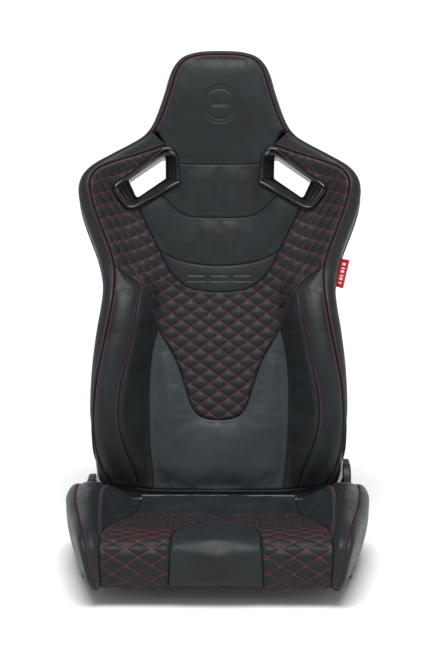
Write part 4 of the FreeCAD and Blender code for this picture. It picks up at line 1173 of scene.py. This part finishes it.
def make_rear_panels():
    rim = inset_points(OUTLINE_RING, REAR_INSET)
    right = rim[rim[:, 0] > 0]
    right = right[np.argsort(np.arctan2(right[:, 1] - 400, right[:, 0]))]
    split = (252.0, REAR_SPLIT)
    split_at = nearest(right, split)
    hole_in, hole_out = (nearest(REAR_HOLE, p) for p in ((104, REAR_SPLIT), (199, REAR_SPLIT)))
    count = len(REAR_HOLE)
    forward = [(hole_in + n) % count for n in range((hole_out - hole_in) % count + 1)]
    backward = [(hole_in - n) % count for n in range((hole_in - hole_out) % count + 1)]
    over = forward if REAR_HOLE[forward, 1].mean() > REAR_HOLE[backward, 1].mean() else backward
    under = backward if over is forward else forward
    start = np.array([[0.0, REAR_SPLIT]])
    for name, hole, side in (("rear_upper_cover", over, right[split_at:]),
                             ("rear_lower_cover", under, right[:split_at + 1][::-1])):
        half = np.vstack([start, REAR_HOLE[hole], side])
        half = resampled(half, 2.5)
        half[-1, 0] = 0.0
        Panel(name, place_rear, closed_both_sides(half), "back", LEATHER_REAR, spacing=4.0,
              thickness=3.0, swell=0.6, slot="back_cover",
              replaces=("back_shell",) if name == "rear_lower_cover" else ())
    seams = []
    for gap in (4.0, -4.0):
        path = np.column_stack([np.linspace(-92, 92, 90), np.full(90, REAR_SPLIT + gap)])
        seams.append((place_rear, path, -0.2))
        for sign in (-1, 1):
            path = np.column_stack([np.linspace(196, 246, 26) * sign,
                                    np.full(26, REAR_SPLIT + gap)])
            seams.append((place_rear, path, -0.2))
    ring = inset_points(OUTLINE_RING, REAR_INSET + 4.0) * np.array([-1, 1])
    seams.append((place_rear, ring, -0.2))
    sew("rear_stitching", seams, "back")


# The front bezel: its rounded lip as (way in from the flange's edge, height w), then its
# ribbed wall as (share of the way from the lip to the slot, height w), and back behind.
LIP_SECTION = ((1.5, 45.0), (0.0, 46.5), (0.0, 48.6), (0.9, 50.4), (2.8, 51.5), (4.8, 51.4),
               (6.4, 50.2), (7.0, 48.0))
LIP_IN = 7.0
WALL_SECTION = ((0.02, 42.0), (0.22, 36.5), (0.27, 35.8), (0.29, 31.0), (0.52, 22.5),
                (0.57, 21.8), (0.59, 17.0), (0.85, 8.0), (0.90, 7.2), (1.0, 0.0), (1.0, -17.8),
                (0.90, -17.8), (0.82, 0.0), (0.50, 14.0), (0.20, 28.0), (0.0, 38.0), (-0.12, 44.0))


FLANGE_SEAT = 43.0


def make_front_bezel(name, sign):
    rings = []
    surface = back_height(*FLANGE_RING.T) - FLANGE_SEAT
    lip = inset_points(FLANGE_RING, LIP_IN)
    for way, w in LIP_SECTION:
        ring = inset_points(FLANGE_RING, way)
        rings.append(back_to_row(ring[:, 0] * sign, ring[:, 1], w + surface))
    for share, w in WALL_SECTION:
        ring = lip * (1 - share) + HOLE_RING * share
        follow = surface * np.clip(1 - share / 0.6, 0, 1)
        rings.append(back_to_row(ring[:, 0] * sign, ring[:, 1], w + follow))
    count, rows = len(rings[0]), len(rings)
    faces = []
    for r in range(rows):
        for k in range(count):
            n, m = (k + 1) % count, (r + 1) % rows
            faces.append((r * count + k, r * count + n, m * count + n, m * count + k))
    piece = add_piece(f"front_bezel_{name}", np.vstack(rings), faces, GLOSS, "back")
    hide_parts(f"harness_bezel_{name}")
    piece.data.materials.append(BEZEL_WALL)
    for face in piece.data.polygons:
        face.material_index = int(all(v // count >= len(LIP_SECTION) for v in face.vertices))
    bevel = piece.modifiers.new("smooth", "SUBSURF")
    bevel.levels = bevel.render_levels = 1


TAG_W = 34.0


def make_tag():
    """A folded woven label in the side seam, with plain dashes."""
    low_in, low_out, high_out, high_in = (np.array(p, float) for p in
                                          ((218, 393), (234, 388), (247, 443), (228, 447)))
    rows, columns = 16, 6

    def spot(s, t, lift):
        flat = (low_in * (1 - s) + low_out * s) * (1 - t) + (high_in * (1 - s) + high_out * s) * t
        curl = 3.0 * s * s + 0.8 * math.sin(2.2 * math.pi * t) * s
        return back_to_row(flat[:1], flat[1:], np.array([TAG_W + curl + lift]))[0]

    grid = np.array([[spot(s, t, 0.6) for t in np.linspace(0, 1, rows)]
                     for s in np.linspace(0, 1, columns)])
    label = ribbon("side_label", grid[:, ::-1], "back", LABEL, thickness=1.2,
                   replaces=("side_tag",))
    points, faces = [], []
    for k in range(6):
        t0, t1 = 0.13 + 0.13 * k, 0.13 + 0.13 * k + (0.09 if k % 2 else 0.05)
        corners = [spot(s, t, 0.68 + h) for h in (0, 0.3) for s, t in
                   ((0.38, t0), (0.72, t0), (0.72, t1), (0.38, t1))]
        base = len(points)
        points += corners
        faces += [tuple(base + i for i in f) for f in
                  ((0, 3, 2, 1), (4, 5, 6, 7), (0, 1, 5, 4), (1, 2, 6, 5), (2, 3, 7, 6),
                   (3, 0, 4, 7))]
    add_piece("side_label_dashes", points, faces, LABEL_MARK, "back", flat=True)
    return label


STITCH_GAP = 4.0


def make_back_stitching(quilt, headrest, ridges):
    """Two rows beside each outer seam, and one row along each ridge."""
    seams = []
    shoulder = up_to(SIDE_SEAM, (197, 424))
    below = beyond(up_to(SIDE_SEAM, (229, 165)), (197, 424))
    ridge = up_to(RIDGE_SEAM, (178, 96))
    for name, sign in SIDES:
        seams.append(quilt.seam(beside(shoulder, -STITCH_GAP) * (sign, 1)))
        seams.append(ridges[name].seam(beside(below, -STITCH_GAP) * (sign, 1)))
        seams.append(ridges[name].seam(beside(ridge, STITCH_GAP) * (sign, 1)))
        seams.append(headrest.seam(beside(HEAD_SEAM, STITCH_GAP) * (sign, 1)))
        for path, gap in ((shoulder, STITCH_GAP), (below, STITCH_GAP), (HEAD_SEAM, -STITCH_GAP)):
            seams.append((place_front, beside(path, gap) * (sign, 1), 0.3))
    sew("back_seam_stitching", seams, "back")


# ---------------------------------------------------------------- the cushion

# Matched keys of the outer seam (x, b), the edge (x, b) and the hem (x, y, z).
CUSHION_EDGE = smooth([
    (193, 2, 198, 0, 194, -262, 31),
    (201, 32, 206, 30, 197, -256, 28),
    (208, 64, 214, 66, 201, -246, 26),
    (216, 97, 223, 100, 206, -232, 24),
    (222, 124, 229, 127, 211, -212, 24),
    (229, 161, 236, 162, 218, -184, 23),
    (238, 218, 246, 218, 226, -150, 22),
    (246, 279, 255, 279, 237, -90, 21),
    (251, 339, 261, 339, 246, -30, 21),
    (252, 400, 262, 400, 250, 30, 22),
    (249, 434, 259, 438, 249, 66, 23),
    (239, 452, 249, 457, 242, 83, 26),
    (223, 463, 232, 469, 229, 94, 32),
    (206, 473, 213, 479, 211, 104, 44),
    (187, 483, 191, 489, 193, 117, 46),
    (143, 491, 145, 498, 147, 126, 46)], 2.5)
OUTER_SEAM = CUSHION_EDGE[:, 0:2]
SEAT_SEAM = smooth([(142, 496), (142, 470), (141.5, 438), (145, 385), (154, 335), (167, 281),
                    (178, 222), (184.5, 172), (188.5, 130), (190, 106)])
FRONT_SEAM = smooth([(190, 106), (189.5, 70), (187, 3)])
CREST_SEAM = smooth([(193, 482), (198, 464), (203, 438), (206.5, 371), (205, 290), (202, 219),
                     (199, 178), (195, 138), (190, 106)])
QUILT_TOP = resampled(np.array([SEAT_SEAM[nearest(SEAT_SEAM, (149, 363))], (0, 363)]), 2.0)
WEDGE = smooth([(0, 299), (21, 285), (41, 252), (54, 214), (64, 176), (71, 130), (75, 70), (78, 3)])
SEAT_DIAMOND_WIDE, SEAT_DIAMOND_TALL = 42.0, 28.0
SEAT_QUILT_FOOT = 98.0
CUSHION_REAR = 526.0


def cushion_quilt(x, b, distance):
    slope = SEAT_DIAMOND_TALL / SEAT_DIAMOND_WIDE
    one, two = ((b - SEAT_QUILT_FOOT + sign * slope * x) / SEAT_DIAMOND_TALL for sign in (-1, 1))
    return pillows(one, two, distance, 3.0)


def make_cushion_panels():
    at_top = nearest(SEAT_SEAM, QUILT_TOP[0])
    Panel("seat_rear_cover", place_cushion, closed_both_sides(
        QUILT_TOP[::-1], SEAT_SEAM[:at_top][::-1],
        resampled(np.array([(142, 496), (141, CUSHION_REAR - 4), (137, CUSHION_REAR),
                            (0, CUSHION_REAR)], float), 2.0)),
        "base", crown=2.0, swell=1.0, thickness=14, slack=0.03, most=4.0,
        replaces=("cushion_pad",))
    quilt = Panel("seat_quilted_panel", place_cushion, closed_both_sides(
        WEDGE, [(110, 3), (140, 3), (165, 3)], FRONT_SEAM[::-1], SEAT_SEAM[at_top:][::-1],
        QUILT_TOP), "base", PERFORATED, spacing=2.1, thickness=14, shape=cushion_quilt, swell=0)
    Panel("seat_wedge_cover", place_cushion, closed_both_sides(
        [(0, 3), (27, 3), (54, 3)], WEDGE[::-1]), "base", crown=2.5, thickness=14, swell=0.6,
        slack=0.01)
    slope = SEAT_DIAMOND_TALL / SEAT_DIAMOND_WIDE
    sew_quilting("seat_quilt_stitching", quilt, np.arange(-210, 210, 1.5), range(-9, 18),
                 lambda x, k, sign: SEAT_QUILT_FOOT + k * SEAT_DIAMOND_TALL + sign * slope * x,
                 "base")
    sides, tops, stitches = {}, {}, []
    for name, sign in SIDES:
        inner = chain(SEAT_SEAM, CREST_SEAM[::-1], [(180, 486), (160, 491)])
        sides[name] = Panel(f"cushion_bolster_inner_cover_{name}", place_cushion,
                            on_side(inner, sign), "base", crown=2.0, swell=1.4, thickness=12,
                            slack=0.03, most=4.0, replaces=(f"cushion_bolster_{name}",))
        outer = up_to(OUTER_SEAM, (197, 479))
        top = chain(CREST_SEAM, FRONT_SEAM, outer)
        tops[name] = Panel(f"cushion_bolster_top_cover_{name}", place_cushion,
                           on_side(top, sign), "base", crown=2.5, crown_wide=18, thickness=12,
                           slack=0.01)
        cushion_band(name, sign)
        outer = up_to(OUTER_SEAM, (216, 468))
        stitches.append(tops[name].seam(beside(outer, STITCH_GAP) * (sign, 1)))
        stitches.append((place_cushion, beside(outer, -STITCH_GAP) * (sign, 1), 0.3))
        crest = beyond(up_to(CREST_SEAM, (191, 112)), (199, 462))
        stitches.append(sides[name].seam(beside(crest, -STITCH_GAP) * (sign, 1)))
    sew("cushion_seam_stitching", stitches, "base")


WELT_AT, WELT_HALF, WELT_R = 512.0, 141.0, 2.2


def make_cushion_welt():
    """A welt across the cushion where its cover turns down at the rear. Its lighter leather is a painted highlight
    along that rolled edge.
    """
    x = np.linspace(-WELT_HALF, WELT_HALF, 120)
    points, _ = on_surface(place_cushion, x, np.full(len(x), WELT_AT), 1.5)
    tube("cushion_rear_welt", points, WELT_R, "base", WELT_PAINTED_HIGHLIGHT, closed=False)


SIDE_BULGE = 0.045


def cushion_band(name, sign):
    """From the outer seam over the edge, and down the cushion's side to its hem."""
    seam, edge, hem = CUSHION_EDGE[:, 0:2], CUSHION_EDGE[:, 2:4], CUSHION_EDGE[:, 4:7]
    wide = np.linalg.norm(edge - seam, axis=1)
    drop = np.minimum(wide * 1.1, 16.0)
    grid = []
    for t in np.sin(np.linspace(0, math.pi / 2, 12)):
        flat = seam + (edge - seam) * t
        lift = -rounded_edge(wide * t, 4.0, 3.0)
        lift = lift - rounded_edge(wide * (1 - t), wide, 1.0) * drop
        points, _ = on_surface(place_cushion, flat[:, 0], flat[:, 1], lift)
        grid.append(points)
    top = grid[-1]
    reach = np.linalg.norm(hem - top, axis=1)[:, None]
    for t in np.linspace(0, 1, 14)[1:]:
        out = np.array([[1.0, 0.0, 0.0]]) * reach * SIDE_BULGE * math.sin(math.pi * t)
        grid.append(top + (hem - top) * t + out)
    grid = np.array(grid)
    if sign < 0:
        grid = grid * np.array([-1, 1, 1])
        grid = grid[:, ::-1]
    ribbon(f"cushion_side_band_{name}", grid, "base", LEATHER, thickness=5.0)


def make_cushion_underside():
    lip = smooth([(-262, 30), (-240, 28.5), (-205, 28), (-186, 29), (-178, 34), (-176, 46)], 6.0)
    across = np.linspace(-194, 194, 60)
    grid = np.array([[(x, y, z) for x in across] for y, z in lip])
    ribbon("cushion_front_lip", grid, "base", LINING, thickness=-4.0)
    ring = resampled(np.array([(-218, -176), (218, -176), (218, 104), (140, 108), (138, 150),
                               (-138, 150), (-140, 108), (-218, 104), (-218, -176)], float),
                     6.0)[:-1]

    def place_lining(a, b):
        return np.column_stack([-a, b, np.full(len(a), 44.0)])

    Panel("cushion_lining", place_lining, ring, "base", LINING, spacing=12.0, thickness=6.0,
          roll=2, depth=1, swell=0)


# ---------------------------------------------------------------- build

finish_cad_nodes()
quilt_panel = make_back_quilt()
headrest_panel = make_back_plain_panels()
ridge_panels = {}
for side_name, side_sign in SIDES:
    ridge_panels[side_name] = make_bolster_panels(side_name, side_sign)
    make_front_bezel(side_name, side_sign)
make_back_bands()
make_rear_panels()
make_tag()
make_back_stitching(quilt_panel, headrest_panel, ridge_panels)
make_cushion_panels()
make_cushion_welt()
make_cushion_underside()


# ---------------------------------------------------------------- stage, lights, camera

FLOOR_FLAT, FLOOR_WIDE, FLOOR_RISE = 10.0, 40.0, 14.0
FLOOR_UNDER = 0.002


def add_floor():
    """A pale floor that curves up far from the seat on every side."""
    around, rows = 96, [(0.0, 0.0), (FLOOR_FLAT, 0.0)]
    for t in np.linspace(0, 1, 12)[1:]:
        rows.append((FLOOR_FLAT + (FLOOR_WIDE - FLOOR_FLAT) * t, FLOOR_RISE * t * t))
    points = [(0, 0, -FLOOR_UNDER)]
    for reach, rise in rows[1:]:
        for k in range(around):
            turn = 2 * math.pi * k / around
            points.append((reach * math.cos(turn), reach * math.sin(turn), rise - FLOOR_UNDER))
    faces = [(0, 1 + k, 1 + (k + 1) % around) for k in range(around)]
    for r in range(len(rows) - 2):
        for k in range(around):
            n = (k + 1) % around
            here, there = 1 + r * around, 1 + (r + 1) * around
            faces.append((here + k, there + k, there + n, here + n))
    mesh = bpy.data.meshes.new("floor")
    mesh.from_pydata(points, [], faces)
    mesh.shade_smooth()
    finish = Finish("pale_floor", Roughness=0.9, Specular_IOR_Level=0.1)
    finish.tint(finish.ramp(finish.noise(0.6, 2), 0, 1), (0.84, 0.84, 0.84, 1),
                (0.88, 0.88, 0.88, 1))
    mesh.materials.append(finish.material)
    floor = object_of("floor", mesh)


def direction(rise, turn):
    """Out from the seat towards a place at that height and turn, in radians."""
    return Vector((math.sin(turn) * math.cos(rise), -math.cos(turn) * math.cos(rise),
                   math.sin(rise)))


def add_sun(name, rise, turn, strength, softness):
    light = bpy.data.lights.new(name, "SUN")
    light.energy = strength
    light.angle = math.radians(softness)
    towards = direction(math.radians(rise), math.radians(turn))
    object_of(name, light).rotation_euler = towards.to_track_quat("Z", "Y").to_euler()


def add_light(name, place, target, size, power):
    light = bpy.data.lights.new(name, "AREA")
    light.shape = "RECTANGLE"
    light.size, light.size_y = size
    light.energy = power
    lamp = object_of(name, light)
    lamp.location = place
    lamp.rotation_euler = (Vector(target) - Vector(place)).to_track_quat("-Z", "Y").to_euler()


CAMERA_TARGET = Vector((-0.004, 0.270, 0.374))
CAMERA_DISTANCE = 3.6
CAMERA_RISE = math.radians(9.5)
CAMERA_YAW = math.radians(-0.6)
PICTURE_TALL = 650
FOCAL_PIXELS = 0.531 * CAMERA_DISTANCE / MM


def add_camera():
    data = bpy.data.cameras.new("camera")
    data.sensor_width = 36.0
    data.lens = FOCAL_PIXELS / PICTURE_TALL * data.sensor_width
    camera = object_of("camera", data)
    away = direction(CAMERA_RISE, -CAMERA_YAW)
    camera.location = CAMERA_TARGET + away * CAMERA_DISTANCE
    camera.rotation_euler = (-away).to_track_quat("-Z", "Y").to_euler()
    bpy.context.scene.camera = camera


WORLD_STRENGTH = 0.22


def add_world():
    world = bpy.data.worlds.new("studio")
    world.use_nodes = True
    inputs = world.node_tree.nodes["Background"].inputs
    inputs["Color"].default_value = (1, 1, 1, 1)
    inputs["Strength"].default_value = WORLD_STRENGTH
    bpy.context.scene.world = world


add_floor()
seat_middle = (0, 0.1, 0.45)
add_sun("soft_sky", 74, 0, 3.5, 34)
add_light("front_box", (0, -3.4, 2.6), seat_middle, (2.2, 1.2), 6)
add_light("left_box", (-2.6, -1.8, 1.6), seat_middle, (0.8, 1.8), 5)
add_light("right_box", (2.6, -1.8, 1.6), seat_middle, (0.8, 1.8), 5)
add_camera()
add_world()
bpy.context.scene.view_settings.view_transform = "Standard"
